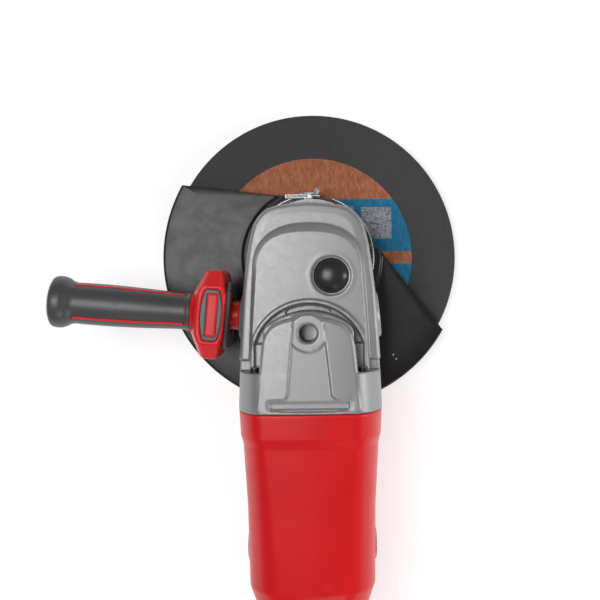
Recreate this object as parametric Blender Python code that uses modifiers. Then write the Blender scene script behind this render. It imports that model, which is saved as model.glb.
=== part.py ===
"""A large corded angle grinder set up as a cut-off saw, with a 230 mm wheel in a cutting guard.

All sizes are in millimetres and are scaled to metres where a mesh is made. The origin is the centre of
the spindle's free end. +Z runs up the spindle, +Y is the tool's front, and the armature lies along Y.
"""

import math

import bmesh
import bpy
from mathutils import Matrix, Vector

MM = 0.001
GAP = 0.3

# Wheel and what clamps it
DISC_RADIUS = 115.0
DISC_LOW = 9.8
DISC_HIGH = 12.8
DISC_BORE = 11.11
FLANGE_RADIUS = 22.0
NUT_RADIUS = 22.5

# Spindle and gears: the two gear cones meet at the apex, where the spindle and armature axes cross
SPINDLE_THREAD = 7.0
SPINDLE_SEAT = 8.2
SPINDLE_GEAR_SEAT = 9.0
SPINDLE_TOP = 97.0
MOTOR_Z = 84.0
RING_TEETH = 41
PINION_TEETH = 10
RING_RADIUS = 34.5
RING_TOOTH_INNER = 26.0
LOCK_RADIUS = 21.9
LOCK_X = 16.2
LOCK_Y = -14.7

# Gear case
CASE_BOTTOM = 42.0
# Each row is a place along Y and the half width there, from the back to the tip.
FRONT_OUTLINE = (
    (-74.0, 50.6), (-64.0, 50.1), (-24.7, 47.6), (-8.0, 45.6), (7.0, 43.5), (15.5, 41.6), (23.0, 39.3),
    (27.0, 37.1), (30.9, 33.6), (34.0, 29.6), (36.2, 23.0), (37.7, 12.9), (38.6, 0.0),
)
BAND_TOP = 104.0
PLATEAU_TOP = 109.0
LIP_TOP = 113.0
LEDGE_TOP = 127.0
REAR_TOP = 133.5
REAR_HALF_WIDTH = 51.5
REAR_CORNER = 20.0
REAR_CORNER_HEIGHT = 40.0
CASE_REAR = -110.0
NECK_RADIUS = 45.4
SCREW_CIRCLE = 40.0
LEDGE_Y = -81.2
CASE_SCREW_X = 38.0
CASE_SCREW_HEAD = 3.5
CASE_SCREW_RISE = 34.0
CASE_SCREW_FACE = -78.4
TOP_BOSS_Y = -54.5
SIDE_BOSS_Y = -43.43
SIDE_BOSS_FACE = 51.0
SIDE_TILT = math.radians(5.1)
SOCKET_RADIUS = 6.3
GRIP_START = 87.0
GRIP_END = 190.5

# Motor housing and rear handle
HOUSING_FRONT = -110.3
HOUSING_REAR = -262.0
STATOR_RADIUS = 41.5
HANDLE_FRONT = -262.3
HANDLE_REAR = -440.0
GLAND_Z = 80.0
TRIGGER_PIN_Y = -290.0
TRIGGER_PIN_Z = 68.0

# Guard
GUARD_RADIUS = 119.3
GUARD_SHEET = 2.5
GUARD_TOP = 23.5
GUARD_LOW = 2.0
GUARD_TURN = math.radians(-29.7)
COLLAR_INNER = 45.7
COLLAR_OUTER = 47.2
BAND_INNER = 47.5
BAND_OUTER = 49.0
BAND_LOW = 29.5
BAND_HIGH = 39.0
LEVER_PIN_ANGLE = math.radians(85.0)
LEVER_PIN_CIRCLE = 52.0

FINISHES = {
    "cast_alloy": ((0.42, 0.42, 0.43), 0.45, 0.55),
    "red_nylon": ((0.62, 0.015, 0.02), 0.38, 0.0),
    "black_rubber": ((0.035, 0.035, 0.037), 0.75, 0.0),
    "black_nylon": ((0.03, 0.03, 0.032), 0.5, 0.0),
    "guard_steel": ((0.05, 0.05, 0.052), 0.38, 0.7),
    "bright_steel": ((0.62, 0.62, 0.63), 0.25, 1.0),
    "ground_steel": ((0.45, 0.45, 0.46), 0.35, 1.0),
    "black_steel": ((0.02, 0.02, 0.022), 0.35, 0.8),
    "abrasive": ((0.045, 0.045, 0.047), 0.9, 0.0),
    "laminations": ((0.25, 0.25, 0.26), 0.5, 0.8),
    "copper": ((0.55, 0.22, 0.09), 0.35, 1.0),
    "carbon": ((0.02, 0.02, 0.02), 0.6, 0.1),
    "brass": ((0.6, 0.42, 0.14), 0.3, 1.0),
}


# Helpers


def collection(name):
    made = bpy.data.collections.new(name)
    bpy.context.scene.collection.children.link(made)
    return made


def place(name, mesh, home):
    obj = bpy.data.objects.new(name, mesh)
    home.objects.link(obj)
    return obj


def finish(obj, kind):
    """Its own Principled material, and smooth shading over its round faces."""
    colour, roughness, metallic = FINISHES[kind]
    made = bpy.data.materials.new(obj.name)
    made.use_nodes = True
    shader = made.node_tree.nodes["Principled BSDF"]
    shader.inputs["Base Color"].default_value = (*colour, 1.0)
    shader.inputs["Roughness"].default_value = roughness
    shader.inputs["Metallic"].default_value = metallic
    made.diffuse_color = (*colour, 1.0)
    obj.data.materials.clear()
    obj.data.materials.append(made)
    obj.data.shade_smooth()
    obj.data.set_sharp_from_angle(angle=math.radians(35))
    return obj


def turned(name, profile, home, steps=28):
    """A solid of revolution about its own Z from a closed (radius, height) outline."""
    area = sum(a[0] * b[1] - b[0] * a[1] for a, b in zip(profile, profile[1:] + profile[:1]))
    ordered = profile if area < 0 else profile[::-1]
    mesh = bpy.data.meshes.new(name)
    count = len(ordered)
    mesh.from_pydata(
        [(r * MM, 0, z * MM) for r, z in ordered],
        [(i, (i + 1) % count) for i in range(count)],
        [],
    )
    # An edge on the axis would turn into nothing, so it is left out.
    on_axis = [e for e in mesh.edges if all(mesh.vertices[v].co.x < 1e-9 for v in e.vertices)]
    if on_axis:
        bm = bmesh.new()
        bm.from_mesh(mesh)
        bm.edges.ensure_lookup_table()
        for index in sorted((e.index for e in on_axis), reverse=True):
            bm.edges.remove(bm.edges[index])
        bm.to_mesh(mesh)
        bm.free()
    obj = place(name, mesh, home)
    screw = obj.modifiers.new("turn", "SCREW")
    screw.steps = steps
    screw.render_steps = steps
    screw.use_merge_vertices = True
    screw.merge_threshold = 1e-6
    return obj


def point_along(obj, axis, at=(0, 0, 0)):
    """Turns an object made along Z so that it runs along another axis from a point."""
    obj.rotation_mode = "QUATERNION"
    obj.rotation_quaternion = Vector((0, 0, 1)).rotation_difference(Vector(axis))
    obj.location = Vector(at) * MM
    return obj


def block(name, low, high, home, bevel=0.0):
    """A box between two corners, with rounded edges where a bevel is given."""
    bm = bmesh.new()
    size = [(h - l) * MM for l, h in zip(low, high)]
    middle = [(h + l) / 2 * MM for l, h in zip(low, high)]
    bmesh.ops.create_cube(bm, size=1, matrix=Matrix.Translation(middle) @ Matrix.Diagonal((*size, 1)))
    mesh = bpy.data.meshes.new(name)
    bm.to_mesh(mesh)
    bm.free()
    obj = place(name, mesh, home)
    if bevel:
        add_bevel(obj, bevel)
    return obj


def add_bevel(obj, width, segments=2, angle=40):
    bevel = obj.modifiers.new("edges", "BEVEL")
    bevel.width = width * MM
    bevel.segments = segments
    bevel.limit_method = "ANGLE"
    bevel.angle_limit = math.radians(angle)


def rod(name, radius, low, high, home, sides=16):
    bm = bmesh.new()
    bmesh.ops.create_cone(
        bm, cap_ends=True, segments=sides, radius1=radius * MM, radius2=radius * MM,
        depth=(high - low) * MM, matrix=Matrix.Translation((0, 0, (high + low) / 2 * MM)),
    )
    mesh = bpy.data.meshes.new(name)
    bm.to_mesh(mesh)
    bm.free()
    return place(name, mesh, home)


def meshed(curve_object, home):
    """The curve as a mesh object at the origin, with welded caps."""
    bpy.context.view_layer.update()
    graph = bpy.context.evaluated_depsgraph_get()
    mesh = bpy.data.meshes.new_from_object(curve_object.evaluated_get(graph))
    name = curve_object.name
    mesh.transform(curve_object.matrix_world)
    bpy.data.objects.remove(curve_object)
    bm = bmesh.new()
    bm.from_mesh(mesh)
    bmesh.ops.remove_doubles(bm, verts=bm.verts, dist=1e-6)
    bmesh.ops.recalc_face_normals(bm, faces=bm.faces)
    bm.to_mesh(mesh)
    bm.free()
    return place(name, mesh, home)


def plate(name, outline, low, high, home):
    """A flat outline of (x, y) points, filled between two heights."""
    curve = bpy.data.curves.new(name + "_outline", "CURVE")
    curve.dimensions = "2D"
    curve.fill_mode = "BOTH"
    curve.extrude = (high - low) / 2 * MM
    spline = curve.splines.new("POLY")
    spline.points.add(len(outline) - 1)
    for point, (x, y) in zip(spline.points, outline):
        point.co = (x * MM, y * MM, 0, 1)
    spline.use_cyclic_u = True
    drawn = place(name, curve, home)
    drawn.location = (0, 0, (high + low) / 2 * MM)
    return meshed(drawn, home)


def wire(name, points, radius, home, closed=False, sides=2):
    """A round wire or tube through (x, y, z) points."""
    curve = bpy.data.curves.new(name + "_path", "CURVE")
    curve.dimensions = "3D"
    curve.bevel_depth = radius * MM
    curve.bevel_resolution = sides
    curve.use_fill_caps = not closed
    spline = curve.splines.new("POLY")
    spline.points.add(len(points) - 1)
    for point, place_ in zip(spline.points, points):
        point.co = (*[c * MM for c in place_], 1)
    spline.use_cyclic_u = closed
    return meshed(place(name, curve, home), home)


def loft(name, rings, home):
    """A skin through rings of equally many points, with a face closing each end."""
    bm = bmesh.new()
    rows = [[bm.verts.new([c * MM for c in point]) for point in ring] for ring in rings]
    for row, after in zip(rows, rows[1:]):
        for i in range(len(row)):
            j = (i + 1) % len(row)
            bm.faces.new((row[i], row[j], after[j], after[i]))
    bm.faces.new(rows[0])
    bm.faces.new(rows[-1])
    bmesh.ops.recalc_face_normals(bm, faces=bm.faces)
    mesh = bpy.data.meshes.new(name)
    bm.to_mesh(mesh)
    bm.free()
    return place(name, mesh, home)


def band(name, rings, home):
    """A skin through rings of equally many points, whose last ring joins its first."""
    bm = bmesh.new()
    rows = [[bm.verts.new([c * MM for c in point]) for point in ring] for ring in rings]
    for row, after in zip(rows, rows[1:] + rows[:1]):
        for i in range(len(row)):
            j = (i + 1) % len(row)
            bm.faces.new((row[i], row[j], after[j], after[i]))
    bmesh.ops.recalc_face_normals(bm, faces=bm.faces)
    mesh = bpy.data.meshes.new(name)
    bm.to_mesh(mesh)
    bm.free()
    return place(name, mesh, home)


def boolean(obj, other, operation):
    modifier = obj.modifiers.new(other.name, "BOOLEAN")
    modifier.operation = operation
    modifier.object = other
    other.hide_render = True
    other.display_type = "WIRE"
    return obj


def cut(obj, *tools):
    for tool in tools:
        boolean(obj, tool, "DIFFERENCE")
    return obj


def join(obj, *tools):
    for tool in tools:
        boolean(obj, tool, "UNION")
    return obj


def arc(radius, start, end, steps, centre=(0, 0)):
    """Points on an arc; the angles are in degrees."""
    found = []
    for i in range(steps + 1):
        angle = math.radians(start + (end - start) * i / steps)
        found.append((centre[0] + radius * math.cos(angle), centre[1] + radius * math.sin(angle)))
    return found


def polar(radius, angle):
    return (radius * math.cos(angle), radius * math.sin(angle))


def half_oval(half_width, length, power, back_y, steps):
    """Points on the front half of a squarish oval, from the right side round to the left."""
    found = []
    for i in range(steps + 1):
        angle = math.pi * i / steps
        c, s = math.cos(angle), math.sin(angle)
        x = half_width * math.copysign(abs(c) ** (2 / power), c)
        y = length * abs(s) ** (2 / power)
        found.append((x, back_y + y))
    return found


def rounded(half_width, half_height, radius, steps=5, tall=None):
    """A rectangle with round corners, centred on zero. Corners with another height are ellipses."""
    tall = tall or radius
    found = []
    for cx, cy, start in ((1, 1, 0), (-1, 1, 90), (-1, -1, 180), (1, -1, 270)):
        for u, v in arc(1.0, start, start + 90, steps):
            found.append((cx * (half_width - radius) + radius * u, cy * (half_height - tall) + tall * v))
    return found


def section(y, half_width, half_height, radius, z=MOTOR_Z, steps=6, tall=None):
    """A round-cornered section across the tool at one place along it."""
    return [(u, y, z + v) for u, v in rounded(half_width, half_height, radius, steps, tall)]


def along_y(obj):
    return point_along(obj, (0, 1, 0), (0, 0, MOTOR_Z))


# Gear case


def front_outline():
    right = [(half_width, y) for y, half_width in FRONT_OUTLINE]
    return right[:-1] + [(0, right[-1][1])] + [(-x, y) for x, y in right[-2::-1]]


def plateau_outline():
    return half_oval(38.5, 31.0, 2.5, -12.0, 16) + [(-41.0, -76.0), (41.0, -76.0)]


def arch_outline(radius, half_width, apex, back):
    """An arc towards the front with straight sides, closed straight across at the back."""
    start = math.degrees(math.acos(half_width / radius))
    front = arc(radius, start, 180 - start, 12, (0, apex - radius))
    return front + [(-half_width, back), (half_width, back)]


def dome_outline():
    """The front of the rear dome: an arc, then sides that widen a little to the screw faces."""
    front = arc(55.0, 56.5, 123.5, 12, (0, -98.0))
    return [(33.2, LEDGE_Y)] + front + [(-33.2, LEDGE_Y)]


def gear_case(home, tools):
    case = plate("gear_case", front_outline(), CASE_BOTTOM, BAND_TOP, home)
    add_bevel(case, 3.0, 2)
    plateau = plate("case_plateau", plateau_outline(), 90.0, PLATEAU_TOP, tools)
    add_bevel(plateau, 2.0, 2)
    lip = plate("case_lip", arch_outline(43.0, 41.5, -31.5, -84.0), 91.0, LIP_TOP, tools)
    trench = plate("case_trench", arch_outline(40.5, 39.0, -34.0, -86.0), 107.0, 150.0, tools)
    floor = block("case_trench_floor", (-40.2, -85.0, 92.0), (40.2, -63.4, LIP_TOP - 2.0), tools)
    ledge = plate("case_ledge", arch_outline(48.5, 31.5, -39.8, -84.5), 96.0, LEDGE_TOP, tools)
    rear = loft("case_rear", [
        section(y, half_width, REAR_TOP - MOTOR_Z, REAR_CORNER, tall=REAR_CORNER_HEIGHT)
        for y, half_width in ((-40.0, 49.0), (-70.0, 50.3), (CASE_REAR, REAR_HALF_WIDTH))
    ], tools)
    dome = plate("case_dome_plan", [(53.0, -112.0), (53.0, LEDGE_Y)] + dome_outline() + [
        (-53.0, LEDGE_Y), (-53.0, -112.0),
    ], 60.0, 150.0, tools)
    low_rear = block("case_low_rear", (-60, -114, 20), (60, -72, 102), tools)
    join(dome, low_rear)
    boolean(rear, dome, "INTERSECT")
    join(case, plateau, lip)
    cut(case, trench)
    join(case, floor, rear, ledge)
    for side, name in ((-1, "left"), (1, "right")):
        boss = rod(f"case_{name}_boss", 16.0, 36.0, SIDE_BOSS_FACE, tools)
        point_along(boss, (side * math.cos(SIDE_TILT), math.sin(SIDE_TILT), 0), side_axis_start())
        join(case, boss)
    top_boss = rod("case_top_boss", 12.5, 104.0, REAR_TOP - 1.0, tools)
    top_boss.location = (0, TOP_BOSS_Y * MM, 0)
    panel = plate("case_panel", panel_outline(), REAR_TOP - 2.0, 150.0, tools)
    cut(case, panel)
    join(case, top_boss)
    hollow_case(case, tools)
    return finish(case, "cast_alloy")


def panel_outline():
    """The shallow T-shaped field on the top of the rear dome."""
    return [(10, -42), (10.5, -60), (13.5, -95), (16, -100), (30.5, -100), (30.5, -108),
            (-29.5, -108), (-29.5, -100), (-14, -100), (-12, -95), (-9.8, -60), (-10, -42)]


def side_axis_start():
    """Where both side handle axes cross the middle of the tool."""
    return (0, SIDE_BOSS_Y - 50.0 * math.tan(SIDE_TILT), MOTOR_Z)


def hollow_case(case, tools):
    """Cuts the gear space, the fan space, the bearing seats, the threaded sockets and the screw holes."""
    gears = turned("cut_gears", [
        (0, 20), (36, 20), (36, 97), (13.0, 97), (13.0, 85), (0, 85),
    ], tools)
    # Turned a little, so that none of its edges meets an edge of the bearing seats.
    gears.rotation_euler.z = math.radians(2.3)
    boss = rod("cut_lock_boss", 9.2, 88.0, 99.0, tools, 24)
    boss.location = (LOCK_X * MM, LOCK_Y * MM, 0)
    cut(gears, boss)
    pilot = turned("cut_top_bearing", [(0, 80), (8.3, 80), (8.3, 97.5), (0, 97.5)], tools, 32)
    button = turned("cut_button", [
        (0, 80), (3.1, 80), (3.1, 93), (7.5, 93), (7.5, 100), (12.4, 100), (12.4, 107.5),
        (14.6, 107.5), (14.6, 120), (0, 120),
    ], tools, 32)
    button.location = (LOCK_X * MM, LOCK_Y * MM, 0)
    shaft = turned("cut_pinion_seat", [
        (0, -30), (14.0, -30), (14.0, -44.6), (17.8, -44.6), (17.8, -60), (0, -60),
    ], tools, 28)
    along_y(shaft)
    fan = turned("cut_fan", [(0, -57.5), (30, -57.5), (43.8, -62), (43.8, -120), (0, -120)], tools)
    along_y(fan)
    vent = block("cut_vent", (-16.1, -39.2, 104.2), (15.2, -35.7, 115.3), tools)
    duct = block("cut_duct", (-14.7, -65.3, 104.7), (13.9, -36.3, 108.6), tools)
    top_socket = rod("cut_top_socket", SOCKET_RADIUS, 112.5, 160.0, tools)
    top_socket.location = (0, TOP_BOSS_Y * MM, 0)
    cut(case, vent, duct, fan, shaft, gears, pilot, button, top_socket)
    for side, name in ((-1, "left"), (1, "right")):
        socket = rod(f"cut_{name}_socket", SOCKET_RADIUS + 0.7, 34.0, 70.0, tools)
        point_along(socket, (side * math.cos(SIDE_TILT), math.sin(SIDE_TILT), 0), side_axis_start())
        cut(case, socket)
    for index, (x, z) in enumerate(housing_screw_places()):
        hole = turned(f"cut_case_screw_{index}", [
            (0, -120), (2.8, -120), (2.8, -83.2), (3.9, -83.2), (3.9, -72.0), (0, -72.0),
        ], tools, 16)
        point_along(hole, (0, 1, 0), (x, 0, z))
        cut(case, hole)
        if z < MOTOR_Z:
            low, high = (x - 4.8, LEDGE_Y, 10.0), (x + 4.8, -55.0, z + 4.8)
            cut(case, block(f"cut_channel_{index}", low, high, tools))
    for index, (x, y) in enumerate(flange_screw_places()):
        hole = rod(f"cut_flange_screw_{index}", 2.8, 30.0, 56.5, tools, 12)
        hole.location = (x * MM, y * MM, 0)
        cut(case, hole)


def housing_screw_places():
    return [
        (side * CASE_SCREW_X, MOTOR_Z + rise)
        for rise in (CASE_SCREW_RISE, -CASE_SCREW_RISE) for side in (1, -1)
    ]


def flange_screw_places():
    return arc(SCREW_CIRCLE, 45, 315, 3)


def cap_screw(name, home, head_radius=4.2, head=4.6, shank=2.5, length=24.0):
    """A socket screw along Z: its head's free face is at zero and its shank runs up."""
    profile = [(0, 0), (head_radius, 0), (head_radius, head), (shank, head)]
    profile += [(shank, head + length), (0, head + length)]
    return finish(turned(name, profile, home, 12), "black_steel")


def case_screws(home):
    for index, (x, y) in enumerate(flange_screw_places()):
        screw = cap_screw(f"bearing_flange_screw_{index + 1}", home, length=24.0)
        screw.location = (x * MM, y * MM, 24.9 * MM)
    for index, (x, z) in enumerate(housing_screw_places()):
        screw = cap_screw(f"gear_case_screw_{index + 1}", home, head_radius=CASE_SCREW_HEAD, length=50.0)
        point_along(screw, (0, -1, 0), (x, CASE_SCREW_FACE, z))


def bearing_flange(home, tools):
    flange = turned("bearing_flange", [
        (9.2, 24), (NECK_RADIUS, 24), (NECK_RADIUS, 41.7), (35.7, 41.7), (35.7, 46), (20.3, 46),
        (20.3, 29.2), (9.2, 29.2),
    ], home, 36)
    for index, (x, y) in enumerate(flange_screw_places()):
        profile = [(0, 20), (4.6, 20), (4.6, 29.8), (2.8, 29.8), (2.8, 60), (0, 60)]
        hole = turned(f"cut_flange_hole_{index}", profile, tools, 12)
        hole.location = (x * MM, y * MM, 0)
        cut(flange, hole)
    return finish(flange, "cast_alloy")


def bearing(name, bore, outer, low, high, home):
    """A shielded ball bearing, as one ring."""
    obj = turned(name, [(bore, low), (outer, low), (outer, high), (bore, high)], home, 20)
    return finish(obj, "bright_steel")


def bearings(home):
    bearing("spindle_bearing", 8.5, 20.0, 29.5, 41.5, home)
    bearing("spindle_top_bearing", 5.0, 8.0, 86.0, 96.5, home)
    along_y(bearing("pinion_bearing", 7.5, 17.5, -56.0, -45.0, home))
    along_y(bearing("rear_bearing", 5.0, 15.0, -242.0, -233.0, home))


# Wheel, spindle and gears


def spindle_group(home, tools):
    spindle = turned("spindle", [
        (0, 0), (SPINDLE_THREAD - 0.8, 0), (SPINDLE_THREAD, 0.8), (SPINDLE_THREAD, 21.3),
        (SPINDLE_SEAT, 21.3), (SPINDLE_SEAT, 42.5), (SPINDLE_GEAR_SEAT, 42.5), (SPINDLE_GEAR_SEAT, 72.0),
        (4.7, 72.0), (4.7, SPINDLE_TOP), (0, SPINDLE_TOP),
    ], home, 20)
    finish(spindle, "ground_steel")
    inner = turned("inner_flange", [
        (7.3, 10.2), (10.8, 10.2), (10.8, 13.1), (FLANGE_RADIUS, 13.1), (FLANGE_RADIUS, 18.0),
        (16.0, 21.0), (7.3, 21.0),
    ], home, 24)
    finish(inner, "ground_steel")
    disc = turned("cut_off_disc", [
        (DISC_BORE, DISC_LOW), (DISC_RADIUS, DISC_LOW), (DISC_RADIUS, DISC_HIGH), (DISC_BORE, DISC_HIGH),
    ], home, 56)
    finish(disc, "abrasive")
    nut = turned("clamp_nut", [
        (7.3, 1.0), (13.0, 1.0), (13.0, 4.5), (NUT_RADIUS - 1, 4.5), (NUT_RADIUS, 5.5), (NUT_RADIUS, 9.5),
        (7.3, 9.5),
    ], home, 24)
    for index, (x, y) in enumerate(arc(17.5, 0, 270, 3)):
        hole = rod(f"cut_nut_{index}", 2.5, 0.0, 8.0, tools, 10)
        hole.location = (x * MM, y * MM, 0)
        cut(nut, hole)
    finish(nut, "ground_steel")
    ring_gear(home, tools)


def tooth_ring(count, radius, offset, shape):
    """Points round a gear: each tooth is (distance along the pitch circle, height) pairs, left to right."""
    pitch = 2 * math.pi / count
    found = []
    for tooth in range(count):
        for along, height in shape:
            found.append((offset + tooth * pitch + along / radius, height))
    return found


def gear_module():
    return 2 * RING_RADIUS / RING_TEETH


def ring_gear(home, tools):
    """A bevel gear with its teeth facing up, tapering towards the apex on the armature's axis."""
    module = gear_module()
    pitch_drop = PINION_TEETH * module / 2
    add, ded, half = 0.5 * module, 1.0 * module, 0.2 * math.pi * module
    slope = math.tan(math.radians(20))
    flank = [(half - add * slope, add), (half + ded * slope, -ded)]
    shape = [(-along, height) for along, height in flank[::-1]] + flank
    teeth = tooth_ring(RING_TEETH, RING_RADIUS, -math.pi / 2, shape)
    shrink = RING_TOOTH_INNER / RING_RADIUS

    def circle(radius, z):
        return [(*polar(radius, a), z) for a, _ in teeth]

    outer = [(*polar(RING_RADIUS, a), MOTOR_Z - pitch_drop + h) for a, h in teeth]
    inner = [(x * shrink, y * shrink, MOTOR_Z + (z - MOTOR_Z) * shrink) for x, y, z in outer]
    gear = band("ring_gear", [
        circle(SPINDLE_GEAR_SEAT + GAP, 44.0), circle(13.0, 44.0), circle(13.0, 61.0),
        circle(RING_RADIUS, 64.0),
        outer, inner, circle(25.6, 71.0), circle(SPINDLE_GEAR_SEAT + GAP, 71.0),
    ], home)
    for index, (x, y) in enumerate(arc(LOCK_RADIUS, lock_angle(), lock_angle() + 270, 3)):
        hole = rod(f"cut_lock_{index}", 3.4, 50.0, 74.0, tools, 12)
        hole.location = (x * MM, y * MM, 0)
        cut(gear, hole)
    return finish(gear, "ground_steel")


def lock_angle():
    return math.degrees(math.atan2(LOCK_Y, LOCK_X))


def armature_group(home, tools):
    shaft = turned("armature_shaft", [
        (0, -24.8), (4.0, -24.8), (4.5, -25.3), (4.5, -41.0), (7.2, -41.0), (7.2, -57.0), (8.0, -57.0),
        (8.0, -228.0), (4.7, -228.0), (4.7, -243.5), (0, -243.5),
    ], home, 16)
    finish(along_y(shaft), "ground_steel")
    pinion_gear(home)
    fan = turned("cooling_fan", [
        (8.3, -66.0), (13.0, -66.0), (13.0, -78.0), (41.0, -78.0), (41.0, -80.0), (8.3, -80.0),
    ], home)
    along_y(fan)
    stand = Matrix.Translation((0, 0, MOTOR_Z * MM)) @ Matrix.Rotation(-math.pi / 2, 4, "X")
    for index in range(9):
        angle = 2 * math.pi * index / 9
        blade = block(f"fan_blade_{index}", (12.0, -0.8, -78.5), (40.0, 0.8, -64.0), tools)
        blade.matrix_world = stand @ Matrix.Rotation(angle, 4, "Z")
        join(fan, blade)
    finish(fan, "black_nylon")
    core_outline = []
    for slot in range(12):
        start = 360 / 12 * slot
        core_outline += arc(26.4, start + 3.5, start + 26.5, 3) + arc(22.5, start + 27.0, start + 33.0, 1)
    core = plate("armature_core", core_outline, -184.0, -130.0, home)
    cut(core, along_y(rod("cut_core", 8.3, -190.0, -120.0, tools)))
    finish(along_y(core), "laminations")
    for end, low, high in (("front", -129.7, -116.0), ("rear", -198.0, -184.3)):
        outline = [(8.3, low), (24.0, low), (25.0, (low + high) / 2), (22.5, high), (8.3, high)]
        coil = turned(f"armature_winding_{end}", outline, home, 18)
        finish(along_y(coil), "copper")
    bars = []
    for bar in range(18):
        start = 360 / 18 * bar
        bars += arc(17.0, start + 1.0, start + 18.0, 1) + arc(15.8, start + 18.3, start + 20.7, 1)
    commutator = plate("commutator", bars, -222.0, -200.5, home)
    cut(commutator, along_y(rod("cut_commutator", 8.3, -230.0, -190.0, tools)))
    finish(along_y(commutator), "copper")


def pinion_gear(home):
    """The small bevel gear on the armature shaft, in mesh with the ring gear below it."""
    module = gear_module()
    radius = PINION_TEETH * module / 2
    add, ded, half = 0.65 * module, 0.9 * module, 0.2 * math.pi * module
    flank = [(half * 0.55, add), (half, 0), (half * 1.25, -ded)]
    shape = [(-along, height) for along, height in flank[::-1]] + flank
    # A gap between two teeth faces straight down at rest, where a tooth of the ring gear stands.
    teeth = tooth_ring(PINION_TEETH, radius, -math.pi / 2 + math.pi / PINION_TEETH, shape)
    shrink = RING_TOOTH_INNER / RING_RADIUS

    def circle(size, y):
        return [(size * math.cos(a), y, MOTOR_Z + size * math.sin(a)) for a, _ in teeth]

    outer = [
        ((radius + h) * math.cos(a), -RING_RADIUS, MOTOR_Z + (radius + h) * math.sin(a))
        for a, h in teeth
    ]
    inner = [(x * shrink, y * shrink, MOTOR_Z + (z - MOTOR_Z) * shrink) for x, y, z in outer]
    pinion = band("pinion_gear", [
        circle(4.8, -40.7), circle(6.4, -40.7), circle(6.4, -36.0), outer, inner, circle(4.8, inner[0][1]),
    ], home)
    return finish(pinion, "ground_steel")


# Motor housing and what it holds


def motor_housing(home, tools):
    shapes = (
        (HOUSING_FRONT, 51.5, 49.5, 20, 40), (-130, 50.3, 48.6, 20, 40), (-134, 49.0, 47.6, 20, 40),
        (-178, 46.2, 46.0, 22, 36), (-236, 45.2, 45.2, 26, 36), (-252, 40, 41.5, 28, 34),
        (HOUSING_REAR, 33, 36, 24, 26),
    )
    housing = loft("motor_housing", [section(y, w, h, r, tall=tall) for y, w, h, r, tall in shapes], home)
    inside = turned("cut_motor", [
        (0, -100), (41.8, -100), (41.8, -229.5), (15.3, -229.5), (15.3, -243), (8, -243), (8, -249),
        (28, -249), (28, -270), (0, -270),
    ], tools)
    along_y(inside)
    cut(housing, inside)
    for index, (x, z) in enumerate(housing_screw_places()):
        hole = rod(f"cut_housing_screw_{index}", 2.8, -134.0, -100.0, tools, 12)
        point_along(hole, (0, 1, 0), (x, 0, z))
        cut(housing, hole)
    for side in (-1, 1):
        way = rod(f"cut_wire_way_{side}", 4.0, -255.0, -225.0, tools, 16)
        point_along(way, (0, 1, 0), (0, 0, MOTOR_Z + side * 22))
        cut(housing, way)
    return finish(housing, "red_nylon")


def stator(home, tools):
    core = turned("stator_core", [
        (27.5, -186), (STATOR_RADIUS, -186), (STATOR_RADIUS, -128), (27.5, -128),
    ], home)
    along_y(core)
    for index, angle in enumerate((12, 168, 192, 348)):
        x, z = 33.2 * math.cos(math.radians(angle)), 33.2 * math.sin(math.radians(angle))
        slot = rod(f"cut_stator_{index}", 4.5, -190, -120, tools, 12)
        point_along(slot, (0, 1, 0), (x, 0, MOTOR_Z + z))
        cut(core, slot)
    finish(core, "laminations")
    for name, start in (("field_coil_upper", 12), ("field_coil_lower", 192)):
        front = [(x, -121.5, MOTOR_Z + z) for x, z in arc(33.2, start, start + 156, 8)]
        back = [(x, -192.5, MOTOR_Z + z) for x, z in arc(33.2, start + 156, start, 8)]
        finish(wire(name, front + back, 3.9, home, closed=True), "copper")
    baffle = turned("air_baffle", [
        (30, -84), (43.4, -84), (43.4, -98), (42, -98), (42, -86), (30, -86),
    ], home, 24)
    finish(along_y(baffle), "black_nylon")
    for side, name in ((-1, "left"), (1, "right")):
        low, high = sorted((side * 19.0, side * 39.0))
        holder = block(f"brush_holder_{name}", (low, -219, 76), (high, -204, 92), home, 0.6)
        way = block(f"cut_brush_{name}", (-50, -215.3, 80.2), (50, -207.7, 87.8), tools)
        cut(holder, way)
        finish(holder, "brass")
        low, high = sorted((side * 17.4, side * 33.0))
        finish(block(f"carbon_brush_{name}", (low, -215, 80.5), (high, -208, 87.5), home, 0.4), "carbon")


# Rear handle


def handle_sections(shrink=0.0):
    """Outer sections of the rear handle; a positive shrink gives the space inside it."""
    shapes = (
        (HANDLE_FRONT, 36.0, 38.0, 22, 84.0), (-276, 33.0, 36.5, 22, 84.0), (-292, 28.0, 33.5, 20, 85.0),
        (-310, 26.0, 31.0, 19, 86.5), (-350, 26.0, 29.5, 19, 88.0), (-390, 26.5, 30.0, 19, 87.5),
        (-412, 28.5, 34.0, 20, 84.5), (-428, 30.5, 39.0, 20, 80.5), (HANDLE_REAR, 28.0, 37.0, 18, 79.5),
    )
    return [section(y, w - shrink, h - shrink, max(r - shrink, 4), z, steps=3) for y, w, h, r, z in shapes]


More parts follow.
